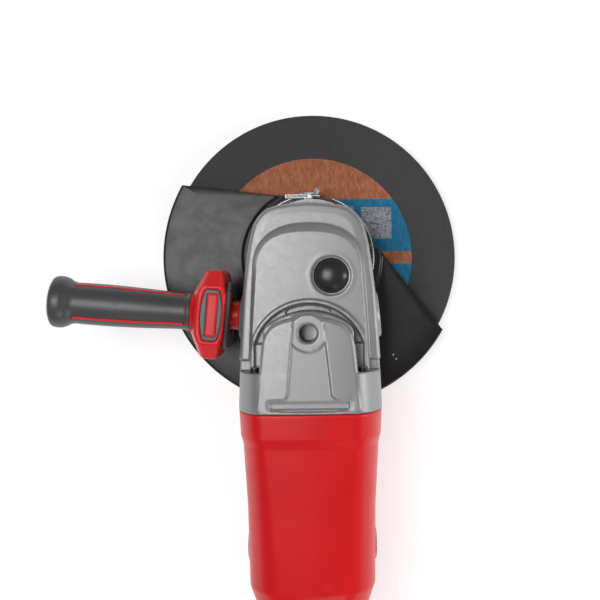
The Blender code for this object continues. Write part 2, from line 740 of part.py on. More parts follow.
def rear_handle(home, tools):
    for side, name in ((-1, "left"), (1, "right")):
        shell = loft(f"rear_handle_{name}", handle_sections(), home)
        rings = handle_sections(3.0)
        front = [(x, HANDLE_FRONT + 8, z) for x, y, z in rings[0]]
        back = [(x, HANDLE_REAR + 4, z) for x, y, z in rings[-1]]
        space = loft(f"cut_handle_{name}", [front, rings[0]] + rings[1:-1] + [back], tools)
        low, high = sorted((side * -100.0, side * GAP / 2))
        half = block(f"cut_half_{name}", (low, -460, 0), (high, -250, 160), tools)
        slot = block(f"cut_trigger_{name}", (-8.5, -392, 30), (8.5, -282, 70), tools)
        inlet = rod(f"cut_inlet_{name}", 9.3, -460, -425, tools, 28)
        point_along(inlet, (0, 1, 0), (0, 0, GLAND_Z))
        cut(shell, space, slot, inlet)
        for index, (y, z, reach) in enumerate(handle_screw_places()):
            post = rod(f"post_{name}_{index}", 5.5, 0.0, reach, tools, 16)
            point_along(post, (side, 0, 0), (0, y, z))
            hole = rod(f"cut_post_{name}_{index}", 2.3, -12.0, 15.5, tools, 12)
            point_along(hole, (1, 0, 0), (0, y, z))
            head = rod(f"cut_head_{name}_{index}", 4.4, 15.2, 45.0, tools, 16)
            point_along(head, (1, 0, 0), (0, y, z))
            join(shell, post)
            cut(shell, hole, head)
        boss = rod(f"boss_{name}", 5.0, 9.0, 26.0, tools, 16)
        point_along(boss, (side, 0, 0), (0, TRIGGER_PIN_Y, TRIGGER_PIN_Z))
        seat = rod(f"cut_boss_{name}", 2.3, -13.5, 13.5, tools, 16)
        point_along(seat, (1, 0, 0), (0, TRIGGER_PIN_Y, TRIGGER_PIN_Z))
        join(shell, boss)
        cut(shell, seat)
        cut(shell, half)
        finish(shell, "red_nylon")
    for index, (y, z, _) in enumerate(handle_screw_places()):
        screw = turned(f"rear_handle_screw_{index + 1}", [
            (0, 26), (2.0, 26), (2.0, 3.2), (4.0, 3.2), (4.0, 0), (0, 0),
        ], home, 12)
        point_along(screw, (-1, 0, 0), (18.5, y, z))
        finish(screw, "black_steel")


def handle_screw_places():
    """Each screw's place along the handle and its height, and how far out its posts reach."""
    return [(-274.0, 105.0, 31.0), (-305.0, 107.5, 22.0), (-400.0, 106.0, 24.5), (-420.0, 54.0, 23.5)]


def handle_inside(home, tools):
    switch = block("switch_body", (-12, -372, 76), (12, -318, 98), home, 1.0)
    plunger = block("switch_plunger", (-4, -352, 73.0), (4, -344, 77), tools)
    join(switch, plunger)
    finish(switch, "black_nylon")
    pin = rod("trigger_pin", 2.0, -13.0, 13.0, home, 20)
    point_along(pin, (1, 0, 0), (0, TRIGGER_PIN_Y, TRIGGER_PIN_Z))
    finish(pin, "ground_steel")
    outline = [(8.9, -428), (8.9, -441)]
    for y, radius in ((-444, 8.4), (-451, 7.8), (-458, 7.2)):
        outline += [(radius, y), (radius, y - 3), (radius - 1.6, y - 3), (radius - 1.6, y - 5)]
    gland = turned("cord_gland", outline + [(4.6, -464), (4.6, -428)], home, 16)
    point_along(gland, (0, 1, 0), (0, 0, GLAND_Z))
    finish(gland, "black_rubber")


def trigger(home, tools):
    """A long paddle hinged at its front, whose finger face stands below the handle."""
    outline = [
        (-284.0, 66.0), (-287.0, 72.0), (-294.0, 72.5), (-300.0, 66.5), (-384.0, 65.5), (-388.0, 62.0),
        (-388.5, 52.0), (-380.0, 47.5), (-340.0, 48.5), (-300.0, 49.0), (-290.0, 51.0), (-286.0, 58.0),
    ]
    paddle = plate("trigger", outline, -7.6, 7.6, home)
    # The outline is drawn as (y, z), and stood up so that its thickness lies along X.
    stand = Matrix(((0, 0, 1, 0), (1, 0, 0, 0), (0, 1, 0, 0), (0, 0, 0, 1)))
    paddle.matrix_world = stand @ paddle.matrix_world
    add_bevel(paddle, 1.5)
    pin = rod("cut_trigger_pin", 2.3, -20, 20, tools, 12)
    point_along(pin, (1, 0, 0), (0, TRIGGER_PIN_Y, TRIGGER_PIN_Z))
    lock = block("cut_trigger_lock", (-4.3, -325, 40), (4.3, -300, 80), tools)
    cut(paddle, pin, lock)
    finish(paddle, "black_nylon")
    guard = block("trigger_lock_off", (-4, -322, 44), (4, -304, 68), home, 1.0)
    finish(guard, "red_nylon")


# Guard


def on_guard(obj):
    obj.matrix_world = Matrix.Rotation(GUARD_TURN, 4, "Z") @ obj.matrix_world
    return obj


def guard_shell(home, tools):
    """A half round cover with a rim, straight front edges and a collar round the gear case's neck."""
    tangent = 67.5
    front = arc(46.0, tangent, 180 - tangent, 4)
    outline = arc(GUARD_RADIUS - 1.0, 180, 360, 32) + front
    shell = plate("guard_shell", outline, GUARD_TOP - GUARD_SHEET, GUARD_TOP, home)
    rim_outline = arc(GUARD_RADIUS, 180, 360, 32) + arc(GUARD_RADIUS - GUARD_SHEET, 360, 180, 32)
    rim = plate("guard_rim", rim_outline, GUARD_LOW, GUARD_TOP - 0.4, tools)
    step = turned("guard_step", [(44, 22.0), (55.5, 22.0), (54.3, 27.0), (44, 27.0)], tools, 40)
    collar = turned("guard_collar", [
        (44.5, 22.5), (COLLAR_OUTER, 22.5), (COLLAR_OUTER, 40.0), (44.5, 40.0),
    ], tools, 40)
    bore = rod("cut_guard_bore", COLLAR_INNER, 10.0, 60.0, tools, 40)
    join(shell, rim, step, collar)
    cut(shell, bore)
    finish(on_guard(shell), "guard_steel")


def clamp(home, tools):
    """The steel band that grips the collar, with an eye for the over-centre lever at its open end."""
    strap_outline = arc(BAND_OUTER, 82, 430, 40) + arc(BAND_INNER, 430, 82, 40)
    strap = plate("clamp_band", strap_outline, BAND_LOW, BAND_HIGH, home)
    x, y = polar(LEVER_PIN_CIRCLE, LEVER_PIN_ANGLE)
    centre = Matrix.Translation((x * MM, y * MM, 0))
    eye = rod("clamp_eye", 3.2, 29.6, 38.9, tools, 16)
    pad = block("clamp_eye_pad", (-2.2, -4.0, 29.8), (2.2, 0.0, 38.7), tools)
    hole = rod("cut_eye", 1.8, 20, 50, tools, 12)
    pad.matrix_world = centre @ Matrix.Rotation(LEVER_PIN_ANGLE - math.pi / 2, 4, "Z")
    for piece in (eye, hole):
        piece.matrix_world = centre
    join(strap, pad, eye)
    cut(strap, hole)
    finish(strap, "bright_steel")
    pin = rod("clamp_pin", 1.5, 27.4, 42.0, home, 12)
    pin.matrix_world = centre
    finish(pin, "ground_steel")
    lever_outline = arc(54.6, 81.5, 116, 12) + arc(50.2, 116, 81.5, 12)
    lever = plate("clamp_lever", lever_outline, 27.5, 41.2, home)
    slot = block("cut_lever_slot", (-6.0, -8.0, 29.1), (4.2, 8.0, 39.4), tools)
    pin_hole = rod("cut_lever_pin", 1.8, 20, 50, tools, 12)
    for piece in (slot, pin_hole):
        piece.matrix_world = centre
    cut(lever, slot, pin_hole)
    finish(lever, "bright_steel")


# Side handle


def side_frame():
    """Z of a piece made on this frame runs out along the left side handle from the middle of the tool."""
    axis = Vector((-math.cos(SIDE_TILT), math.sin(SIDE_TILT), 0))
    up = Vector((0, 0, 1))
    across = up.cross(axis)
    turn = Matrix((across, up, axis)).transposed().to_4x4()
    return Matrix.Translation(Vector(side_axis_start()) * MM) @ turn


def on_side(obj):
    obj.matrix_world = side_frame() @ obj.matrix_world
    return obj


def side_handle(home, tools):
    stud = turned("side_handle_stud", [(0, 35), (6.7, 35), (6.7, 80), (0, 80)], home, 20)
    finish(on_side(stud), "ground_steel")
    core = turned("side_handle_core", [
        (0, 51.6), (10.2, 51.6), (10.7, 52.1), (10.7, 62), (12.8, 64), (12.8, 84), (11.0, 86.5),
        (11.0, GRIP_END - 3.0), (0, GRIP_END - 3.0),
    ], home, 28)
    flange = loft("side_flange", [
        [(u, v, d) for u, v in rounded(half, half, corner, 1)]
        for d, half, corner in ((60.0, 25.0, 9.0), (64.0, 31.7, 11.0), (77.5, 31.7, 11.0), (85.6, 21.0, 8.0))
    ], tools)
    bore = rod("cut_side_core", 7.0, 40.0, 80.4, tools, 12)
    for piece in (core, flange, bore):
        on_side(piece)
    join(core, flange)
    cut(core, bore)
    finish(core, "red_nylon")
    grip = turned("side_handle_grip", [
        (11.3, GRIP_START), (15.6, GRIP_START), (13.3, GRIP_START + 5.0), (15.1, 135.0),
        (15.3, 170.0), (16.6, 176.0), (18.9, 181.0),
        (19.0, 187.0), (16.5, GRIP_END), (11.3, GRIP_END),
    ], home, 20)
    finish(on_side(grip), "black_rubber")


# Spindle lock


def spindle_lock(home):
    x, y = LOCK_X * MM, LOCK_Y * MM
    dome = [(11.9 * u, 108.5 + 5.2 * v) for u, v in arc(1.0, 0, 90, 5)][:-1]
    outline = [(3.2, 105.7), (11.4, 105.7), (11.9, 106.2)] + dome + [(0, 113.7), (0, 109.0), (3.2, 109.0)]
    button = turned("lock_button", outline, home, 20)
    button.location = (x, y, 0)
    finish(button, "black_nylon")
    pin = turned("lock_pin", [(0, 72.5), (2.3, 72.5), (2.75, 73.0), (2.75, 108.6), (0, 108.6)], home, 16)
    pin.location = (x, y, 0)
    finish(pin, "ground_steel")
    turns, per_turn = 4, 8
    low, high = 94.2, 104.8
    path = []
    for i in range(turns * per_turn + 1):
        angle = 2 * math.pi * i / per_turn
        rise = low + (high - low) * i / (turns * per_turn)
        path.append((5.4 * math.cos(angle), 5.4 * math.sin(angle), rise))
    spring = wire("lock_spring", path, 0.6, home, sides=1)
    spring.location = (x, y, 0)
    finish(spring, "bright_steel")


def main():
    for old in list(bpy.data.objects):
        bpy.data.objects.remove(old, do_unlink=True)
    home = collection("angle_grinder")
    tools = collection("cutters")
    gear_case(home, tools)
    case_screws(home)
    bearing_flange(home, tools)
    bearings(home)
    spindle_group(home, tools)
    armature_group(home, tools)
    motor_housing(home, tools)
    stator(home, tools)
    rear_handle(home, tools)
    handle_inside(home, tools)
    trigger(home, tools)
    guard_shell(home, tools)
    clamp(home, tools)
    side_handle(home, tools)
    spindle_lock(home)


main()
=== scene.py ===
"""The looks of the angle grinder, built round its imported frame.

Shapes are written in millimetres in the row frame. Most of them are signed distance functions,
negative inside, which are meshed on a grid and then pulled onto the exact surface.
"""

import math

import bmesh
import bpy
import numpy as np
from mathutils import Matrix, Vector


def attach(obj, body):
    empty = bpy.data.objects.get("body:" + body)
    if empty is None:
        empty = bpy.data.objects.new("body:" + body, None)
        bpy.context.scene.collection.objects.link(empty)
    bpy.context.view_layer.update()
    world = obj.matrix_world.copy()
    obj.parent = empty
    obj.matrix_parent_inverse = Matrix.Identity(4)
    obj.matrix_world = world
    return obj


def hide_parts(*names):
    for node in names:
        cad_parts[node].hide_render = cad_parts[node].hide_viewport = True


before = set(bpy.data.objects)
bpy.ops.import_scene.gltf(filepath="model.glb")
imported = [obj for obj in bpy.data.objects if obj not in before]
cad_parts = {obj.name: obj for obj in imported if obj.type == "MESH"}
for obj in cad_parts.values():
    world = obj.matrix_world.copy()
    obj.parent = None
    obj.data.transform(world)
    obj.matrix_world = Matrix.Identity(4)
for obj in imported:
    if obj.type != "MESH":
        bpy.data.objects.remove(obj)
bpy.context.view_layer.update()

MM = 0.001
MOTOR_Z = 84.0
SIDE_TILT = math.radians(5.1)
SIDE_START = np.array([0.0, -47.89, MOTOR_Z])
SIDE_OUT = np.array([-math.cos(SIDE_TILT), math.sin(SIDE_TILT), 0.0])
GUARD_TURN = -29.7
GUARD_RADIUS = 119.3
GUARD_TOP, GUARD_UNDER, GUARD_LOW = 23.5, 21.1, 2.2
LOCK_X, LOCK_Y = 16.2, -14.7
CASE_LOW, CASE_REAR = 42.0, -110.0
BORDER_Z, PLATEAU_RISE, LIP_Z, LEDGE_Z = 104.0, 5.0, 113.0, 127.0
FLAT_TOP = 49.5
CROWN = 1.3
TOP_BOSS_Y = -54.5
CASE_SCREW_X, CASE_SCREW_RISE, CASE_SCREW_FACE = 38.0, 34.0, -78.4
FLANGE_SCREW_CIRCLE = 40.0
LEVER_PIN_CIRCLE, LEVER_PIN_ANGLE = 52.0, 85.0
WHEEL_RADIUS, WHEEL_LOW, WHEEL_HIGH, WHEEL_BORE = 115.0, 9.8, 12.8, 11.2
GLAND_Z = 80.0


# Distance functions


def cross(a, b, r):
    """What a and b share, with a round edge of radius r."""
    return np.minimum(np.maximum(a, b), -r) + np.hypot(np.maximum(a + r, 0), np.maximum(b + r, 0))


def blend(a, b, r):
    """a and b together, with a fillet of radius r where they meet."""
    return -cross(-a, -b, r)


def carve(a, b, r):
    """a without b, with a round edge of radius r."""
    return cross(a, -b, r)


def oval(x, y, half, length, power, back):
    """Distance from the front half of a squarish oval with straight sides behind it."""
    u = np.abs(x) / half
    v = np.maximum(y - back, 0) / length
    g = np.maximum((u**power + v**power) ** (1 / power), 1e-6)
    slope = np.hypot((u / g) ** (power - 1) / half, (v / g) ** (power - 1) / length)
    return (g - 1) / np.maximum(slope, 0.5 / np.maximum(half, length))


def box2(x, y, cx, cy, hx, hy, r=0.0):
    u = np.abs(x - cx) - hx + r
    v = np.abs(y - cy) - hy + r
    return np.hypot(np.maximum(u, 0), np.maximum(v, 0)) + np.minimum(np.maximum(u, v), 0) - r


def slab(v, low, high):
    return np.abs(v - (low + high) / 2) - (high - low) / 2


def box3(x, y, z, low, high, r=1.0):
    return cross(box2(x, y, (low[0] + high[0]) / 2, (low[1] + high[1]) / 2,
                      (high[0] - low[0]) / 2, (high[1] - low[1]) / 2, r), slab(z, low[2], high[2]), r)


def polygon(x, y, points):
    """Exact distance from a polygon, negative inside."""
    best = np.full(np.broadcast(x, y).shape, 1e9)
    flip = np.ones(best.shape)
    for (ax, ay), (bx, by) in zip(points, points[1:] + points[:1]):
        ex, ey = bx - ax, by - ay
        wx, wy = x - ax, y - ay
        t = np.clip((wx * ex + wy * ey) / (ex * ex + ey * ey), 0, 1)
        best = np.minimum(best, (wx - ex * t) ** 2 + (wy - ey * t) ** 2)
        above, below = y >= ay, y < by
        left = ex * wy > ey * wx
        crosses = (above & below & left) | (~above & ~below & ~left)
        flip = np.where(crosses, -flip, flip)
    return flip * np.sqrt(best)


def ease(t):
    t = np.clip(t, 0, 1)
    return t * t * (3 - 2 * t)


# Meshing


def net(shape, low, high, step):
    """Points and quads of the zero level, one point for each grid cell that it passes through."""
    low = np.array(low, float)
    counts = np.ceil((np.array(high, float) - low) / step).astype(int) + 1
    x, y, z = [low[i] + step * np.arange(counts[i]) for i in range(3)]
    field = np.broadcast_to(shape(x[:, None, None], y[None, :, None], z[None, None, :]), counts)
    inside = field < 0
    cells = tuple(counts - 1)
    total = np.zeros(cells, np.int8)
    for i in (0, 1):
        for j in (0, 1):
            for k in (0, 1):
                total += inside[i:cells[0] + i, j:cells[1] + j, k:cells[2] + k]
    active = (total > 0) & (total < 8)
    place = np.argwhere(active)
    number = np.full(cells, -1, np.int64)
    number[active] = np.arange(len(place))
    sums = np.zeros((len(place), 3))
    hits = np.zeros(len(place))
    for axis in range(3):
        for p in (0, 1):
            for q in (0, 1):
                start = np.zeros(3, int)
                start[(axis + 1) % 3], start[(axis + 2) % 3] = p, q
                end = start.copy()
                end[axis] = 1
                a = field[tuple((place + start).T)]
                b = field[tuple((place + end).T)]
                crossing = (a < 0) != (b < 0)
                t = np.where(crossing, a / np.where(crossing, a - b, 1), 0)
                sums += np.where(crossing[:, None], start + t[:, None] * (end - start), 0)
                hits += crossing
    points = low + (place + sums / hits[:, None]) * step
    quads = []
    for axis in range(3):
        b, c = (axis + 1) % 3, (axis + 2) % 3
        eb, ec = np.eye(3, dtype=int)[b], np.eye(3, dtype=int)[c]
        ahead = np.roll(inside, -1, axis)
        change = inside != ahead
        trim = [slice(None)] * 3
        trim[axis] = slice(0, counts[axis] - 1)
        trim[b], trim[c] = slice(1, counts[b] - 1), slice(1, counts[c] - 1)
        shift = np.zeros(3, int)
        shift[b] = shift[c] = 1
        at = np.argwhere(change[tuple(trim)]) + shift
        ring = np.stack([number[tuple((at + o).T)] for o in (-eb - ec, -ec, eb - eb, -eb)], 1)
        outward = inside[tuple(at.T)]
        quads.append(np.where(outward[:, None], ring, ring[:, ::-1]))
    return points, np.concatenate(quads)


def settle(shape, points, step, rounds=3):
    """Moves the points onto the surface along its gradient."""
    h = 0.04
    for _ in range(rounds):
        value = shape(*points.T)
        slope = np.stack([
            (shape(*(points + o).T) - shape(*(points - o).T)) / (2 * h) for o in np.eye(3) * h
        ], 1)
        move = value[:, None] * slope / np.maximum((slope**2).sum(1), 0.05)[:, None]
        length = np.linalg.norm(move, axis=1)[:, None]
        points = points - move * np.minimum(1, 0.4 * step / np.maximum(length, 1e-9))
    return points


def finish_piece(obj, body, material, nodes):
    obj.data.materials.clear()
    obj.data.materials.append(material)
    obj.data.shade_smooth()
    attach(obj, body)
    if nodes:
        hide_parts(*nodes)
    return obj


def ring_faces(rows, count, closed=True, round_section=True):
    """Quads between rows of count points each; closed joins the last row to the first."""
    faces = []
    for i in range(rows if closed else rows - 1):
        j = (i + 1) % rows
        for k in range(count if round_section else count - 1):
            m = (k + 1) % count
            faces.append((i * count + k, j * count + k, j * count + m, i * count + m))
    return faces


def cleaned(obj):
    """Joins points that coincide, drops faces with no area and turns the normals outwards."""
    bm = bmesh.new()
    bm.from_mesh(obj.data)
    bmesh.ops.remove_doubles(bm, verts=bm.verts, dist=1e-7)
    bmesh.ops.dissolve_degenerate(bm, dist=1e-8, edges=bm.edges)
    bmesh.ops.recalc_face_normals(bm, faces=bm.faces)
    bm.to_mesh(obj.data)
    bm.free()
    return obj


def mesh_object(name, points, faces):
    mesh = bpy.data.meshes.new(name)
    if isinstance(faces, np.ndarray):
        mesh.vertices.add(len(points))
        mesh.vertices.foreach_set("co", (np.asarray(points) * MM).astype(np.float32).ravel())
        mesh.loops.add(faces.size)
        mesh.loops.foreach_set("vertex_index", faces.astype(np.int32).ravel())
        mesh.polygons.add(len(faces))
        mesh.polygons.foreach_set("loop_start", np.arange(0, faces.size, 4, dtype=np.int32))
        mesh.update(calc_edges=True)
        mesh.validate()
    else:
        mesh.from_pydata([tuple(c * MM for c in p) for p in points], [], faces)
    obj = bpy.data.objects.new(name, mesh)
    bpy.context.scene.collection.objects.link(obj)
    return obj


def solid(name, shape, low, high, step, body, material, nodes=(), place=None):
    points, quads = net(shape, low, high, step)
    points = settle(shape, points, step)
    if place is not None:
        points = place(points)
    return finish_piece(mesh_object(name, points, quads), body, material, nodes)


def turned(name, profile, body, material, nodes=(), steps=96, place=None):
    """A closed (radius, height) outline turned about Z, then placed."""
    points = []
    for i in range(steps):
        a = 2 * math.pi * i / steps
        points += [(r * math.cos(a), r * math.sin(a), z) for r, z in profile]
    points = np.array(points, float)
    if place is not None:
        points = place(points)
    obj = cleaned(mesh_object(name, points, ring_faces(steps, len(profile))))
    finish_piece(obj, body, material, nodes)
    obj.data.set_sharp_from_angle(angle=math.radians(40))
    return obj


def polar(radius, angle):
    """The point at this radius and this angle in degrees."""
    return (radius * math.cos(math.radians(angle)), radius * math.sin(math.radians(angle)))


def shifted(x, y, z=0.0):
    return lambda points: points + np.array([x, y, z])


def beside(points):
    """From a piece made along Z to the left side handle's axis."""
    up = np.array([0.0, 0.0, 1.0])
    across = np.cross(up, SIDE_OUT)
    return SIDE_START + points @ np.stack([across, up, SIDE_OUT])


# Materials


class Paint:
    """A node tree round one Principled shader, with the few kinds of node that the finishes use."""

    def __init__(self, name, colour, roughness, metallic=0.0, **sockets):
        self.material = bpy.data.materials.new(name)
        self.material.use_nodes = True
        self.tree = self.material.node_tree
        self.shader = self.tree.nodes["Principled BSDF"]
        self.shader.inputs["Base Color"].default_value = (*colour, 1)
        self.shader.inputs["Roughness"].default_value = roughness
        self.shader.inputs["Metallic"].default_value = metallic
        for socket, value in sockets.items():
            self.shader.inputs[socket.replace("_", " ")].default_value = value
        self.material.diffuse_color = (*colour, 1)
        self.coord = self.node("ShaderNodeTexCoord").outputs["Object"]

    def node(self, kind, **settings):
        made = self.tree.nodes.new(kind)
        for key, value in settings.items():
            setattr(made, key, value)
        return made

    def put(self, socket, value):
        if isinstance(value, bpy.types.NodeSocket):
            self.tree.links.new(value, socket)
        else:
            socket.default_value = value

    def math(self, operation, a, b=0.0, clamp=False):
        made = self.node("ShaderNodeMath", operation=operation, use_clamp=clamp)
        self.put(made.inputs[0], a)
        self.put(made.inputs[1], b)
        return made.outputs[0]

    def mapped(self, scale=(1, 1, 1), turn=(0, 0, 0), move=(0, 0, 0), source=None):
        made = self.node("ShaderNodeMapping")
        self.put(made.inputs["Vector"], source or self.coord)
        made.inputs["Scale"].default_value = scale
        made.inputs["Rotation"].default_value = turn
        made.inputs["Location"].default_value = move
        return made.outputs[0]

    def noise(self, size, detail=3.0, rough=0.6, vector=None, distortion=0.0):
        """Noise with features of about size millimetres."""
        made = self.node("ShaderNodeTexNoise")
        self.put(made.inputs["Vector"], vector or self.coord)
        made.inputs["Scale"].default_value = 1 / (size * MM)
        made.inputs["Detail"].default_value = detail
        made.inputs["Roughness"].default_value = rough
        made.inputs["Distortion"].default_value = distortion
        return made.outputs["Fac"]

    def cells(self, size, feature="F1", vector=None):
        made = self.node("ShaderNodeTexVoronoi", feature=feature)
        self.put(made.inputs["Vector"], vector or self.coord)
        made.inputs["Scale"].default_value = 1 / (size * MM)
        return made.outputs["Distance"]

    def waves(self, size, direction="X", vector=None, distortion=0.0):
        made = self.node("ShaderNodeTexWave", wave_type="BANDS", bands_direction=direction)
        self.put(made.inputs["Vector"], vector or self.coord)
        made.inputs["Scale"].default_value = math.pi / (10 * size * MM)
        made.inputs["Distortion"].default_value = distortion
        return made.outputs["Fac"]

    def rings(self, size):
        made = self.node("ShaderNodeTexWave", wave_type="RINGS", rings_direction="Z")
        self.put(made.inputs["Vector"], self.coord)
        made.inputs["Scale"].default_value = math.pi / (10 * size * MM)
        return made.outputs["Fac"]

    def ramp(self, value, low, high, out_low=0.0, out_high=1.0, smooth=True):
        made = self.node("ShaderNodeMapRange", interpolation_type="SMOOTHSTEP" if smooth else "LINEAR")
        self.put(made.inputs["Value"], value)
        made.inputs["From Min"].default_value = low
        made.inputs["From Max"].default_value = high
        made.inputs["To Min"].default_value = out_low
        made.inputs["To Max"].default_value = out_high
        return made.outputs[0]

    def mix(self, share, first, second):
        made = self.node("ShaderNodeMix", data_type="RGBA")
        self.put(made.inputs[0], share)
        for socket, value in ((made.inputs[6], first), (made.inputs[7], second)):
            self.put(socket, value if isinstance(value, bpy.types.NodeSocket) else (*value, 1))
        return made.outputs[2]

    def axes(self):
        made = self.node("ShaderNodeSeparateXYZ")
        self.put(made.inputs[0], self.coord)
        return made.outputs

    def edges(self, low=0.505, high=0.53):
        return self.ramp(self.node("ShaderNodeNewGeometry").outputs["Pointiness"], low, high)

    def colour(self, value):
        self.put(self.shader.inputs["Base Color"], value)

    def rough(self, value):
        self.put(self.shader.inputs["Roughness"], value)

    def bump(self, *layers):
        """Layers of (height, depth in millimetres), one over the other."""
        normal = None
        for height, depth in layers:
            made = self.node("ShaderNodeBump")
            made.inputs["Distance"].default_value = depth * MM
            made.inputs["Strength"].default_value = 1.0
            self.put(made.inputs["Height"], height)
            if normal is not None:
                self.put(made.inputs["Normal"], normal)
            normal = made.outputs[0]
        self.put(self.shader.inputs["Normal"], normal)


def shade(colour, factor):
    return tuple(c * factor for c in colour)


def cast_alloy():
    base = (0.31, 0.31, 0.315)
    paint = Paint("cast_alloy", base, 0.42, 0.5)
    grain = paint.noise(0.5, 2)
    cloud = paint.noise(22, 3)
    worn = paint.math("MULTIPLY", paint.edges(), paint.ramp(paint.noise(4, 4), 0.35, 0.7))
    tone = paint.mix(cloud, shade(base, 0.96), shade(base, 1.04))
    paint.colour(paint.mix(paint.math("MULTIPLY", worn, 0.45), tone, (0.50, 0.50, 0.51)))
    paint.rough(paint.ramp(paint.noise(3, 3), 0.3, 0.75, 0.41, 0.46))
    paint.bump((cloud, 0.02), (grain, 0.016))
    return paint.material


def moulded(name, colour, low, high, grain_size=0.6, grain_depth=0.025, gloss=0.5):
    paint = Paint(name, colour, (low + high) / 2, Specular_IOR_Level=gloss)
    cloud = paint.noise(30, 2)
    scuff = paint.ramp(paint.noise(9, 5, 0.7), 0.55, 0.8)
    tone = paint.mix(cloud, shade(colour, 0.90), shade(colour, 1.08))
    light = tuple(min(1.0, c * 1.25 + 0.01) for c in colour)
    paint.colour(paint.mix(paint.math("MULTIPLY", paint.edges(), 0.35), tone, light))
    paint.rough(paint.ramp(scuff, 0, 1, low, high, False))
    paint.bump((cloud, 0.06), (paint.cells(grain_size), grain_depth))
    return paint.material


def guard_steel():
    base = (0.009, 0.009, 0.0095)
    paint = Paint("guard_steel", base, 0.34, 0.0, Specular_IOR_Level=0.4)
    peel = paint.noise(1.1, 2)
    cloud = paint.noise(40, 3)
    worn = paint.math("MULTIPLY", paint.edges(0.52, 0.56), paint.ramp(paint.noise(6, 4), 0.5, 0.7))
    tone = paint.mix(cloud, shade(base, 0.94), shade(base, 1.06))
    paint.colour(paint.mix(paint.math("MULTIPLY", worn, 0.5), tone, (0.3, 0.3, 0.3)))
    paint.rough(paint.ramp(paint.noise(12, 4), 0.3, 0.75, 0.30, 0.38))
    paint.bump((peel, 0.035), (paint.noise(0.35, 1), 0.008))
    return paint.material


def plated():
    paint = Paint("bright_plate", (0.52, 0.52, 0.53), 0.34, 1.0)
    streak = paint.noise(0.5, 3, vector=paint.mapped((0.12, 0.12, 1)))
    paint.colour(paint.mix(paint.noise(5, 3), (0.46, 0.46, 0.47), (0.60, 0.60, 0.60)))
    paint.rough(paint.ramp(streak, 0.3, 0.7, 0.32, 0.42))
    paint.bump((streak, 0.006))
    return paint.material


def ground():
    paint = Paint("ground_steel", (0.45, 0.45, 0.46), 0.33, 1.0)
    turned_marks = paint.rings(0.28)
    paint.colour(paint.mix(paint.noise(4, 4), (0.36, 0.36, 0.37), (0.52, 0.52, 0.53)))
    paint.rough(paint.ramp(paint.noise(2, 4), 0.3, 0.7, 0.26, 0.42))
    paint.bump((turned_marks, 0.010), (paint.noise(0.3, 2), 0.006))
    return paint.material


def blackened():
    paint = Paint("black_steel", (0.02, 0.02, 0.022), 0.35, 0.7)
    paint.colour(paint.mix(paint.edges(), (0.018, 0.018, 0.020), (0.16, 0.16, 0.16)))
    paint.rough(paint.ramp(paint.noise(1.5, 3), 0.3, 0.7, 0.25, 0.45))
    paint.bump((paint.noise(0.25, 2), 0.008))
    return paint.material


def fibre(paint):
    """The weave of the glass cloth in the wheel, as a height from 0 to 1."""
    turn = math.radians(32)
    first = paint.waves(1.3, "X", paint.mapped(turn=(0, 0, turn)), 0.6)
    second = paint.waves(1.3, "Y", paint.mapped(turn=(0, 0, turn)), 0.6)
    return paint.math("MAXIMUM", first, second)


def abrasive():
    paint = Paint("abrasive", (0.047, 0.047, 0.049), 0.85)
    grit = paint.cells(0.55)
    cloud = paint.noise(7, 5, 0.7)
    weave = fibre(paint)
    tone = paint.mix(paint.ramp(grit, 0.0, 0.5), (0.105, 0.105, 0.108), (0.042, 0.042, 0.044))
    tone = paint.mix(paint.math("MULTIPLY", cloud, 0.45), tone, (0.075, 0.076, 0.079))
    glint = paint.ramp(paint.noise(0.45, 2), 0.66, 0.74)
    paint.colour(paint.mix(paint.math("MULTIPLY", glint, 0.5), tone, (0.20, 0.20, 0.20)))
    paint.rough(paint.ramp(glint, 0, 1, 0.88, 0.5))
    paint.bump((weave, 0.10), (cloud, 0.25), (grit, 0.10))
    return paint.material


def layered(name, first, second, pitch, direction, roughness, metallic):
    paint = Paint(name, first, roughness, metallic)
    lines = paint.waves(pitch, direction)
    paint.colour(paint.mix(paint.math("MULTIPLY", lines, paint.noise(3, 3)), first, second))
    paint.rough(paint.ramp(paint.noise(2, 3), 0.3, 0.7, roughness * 0.8, roughness * 1.2))
    paint.bump((lines, 0.06))
    return paint.material


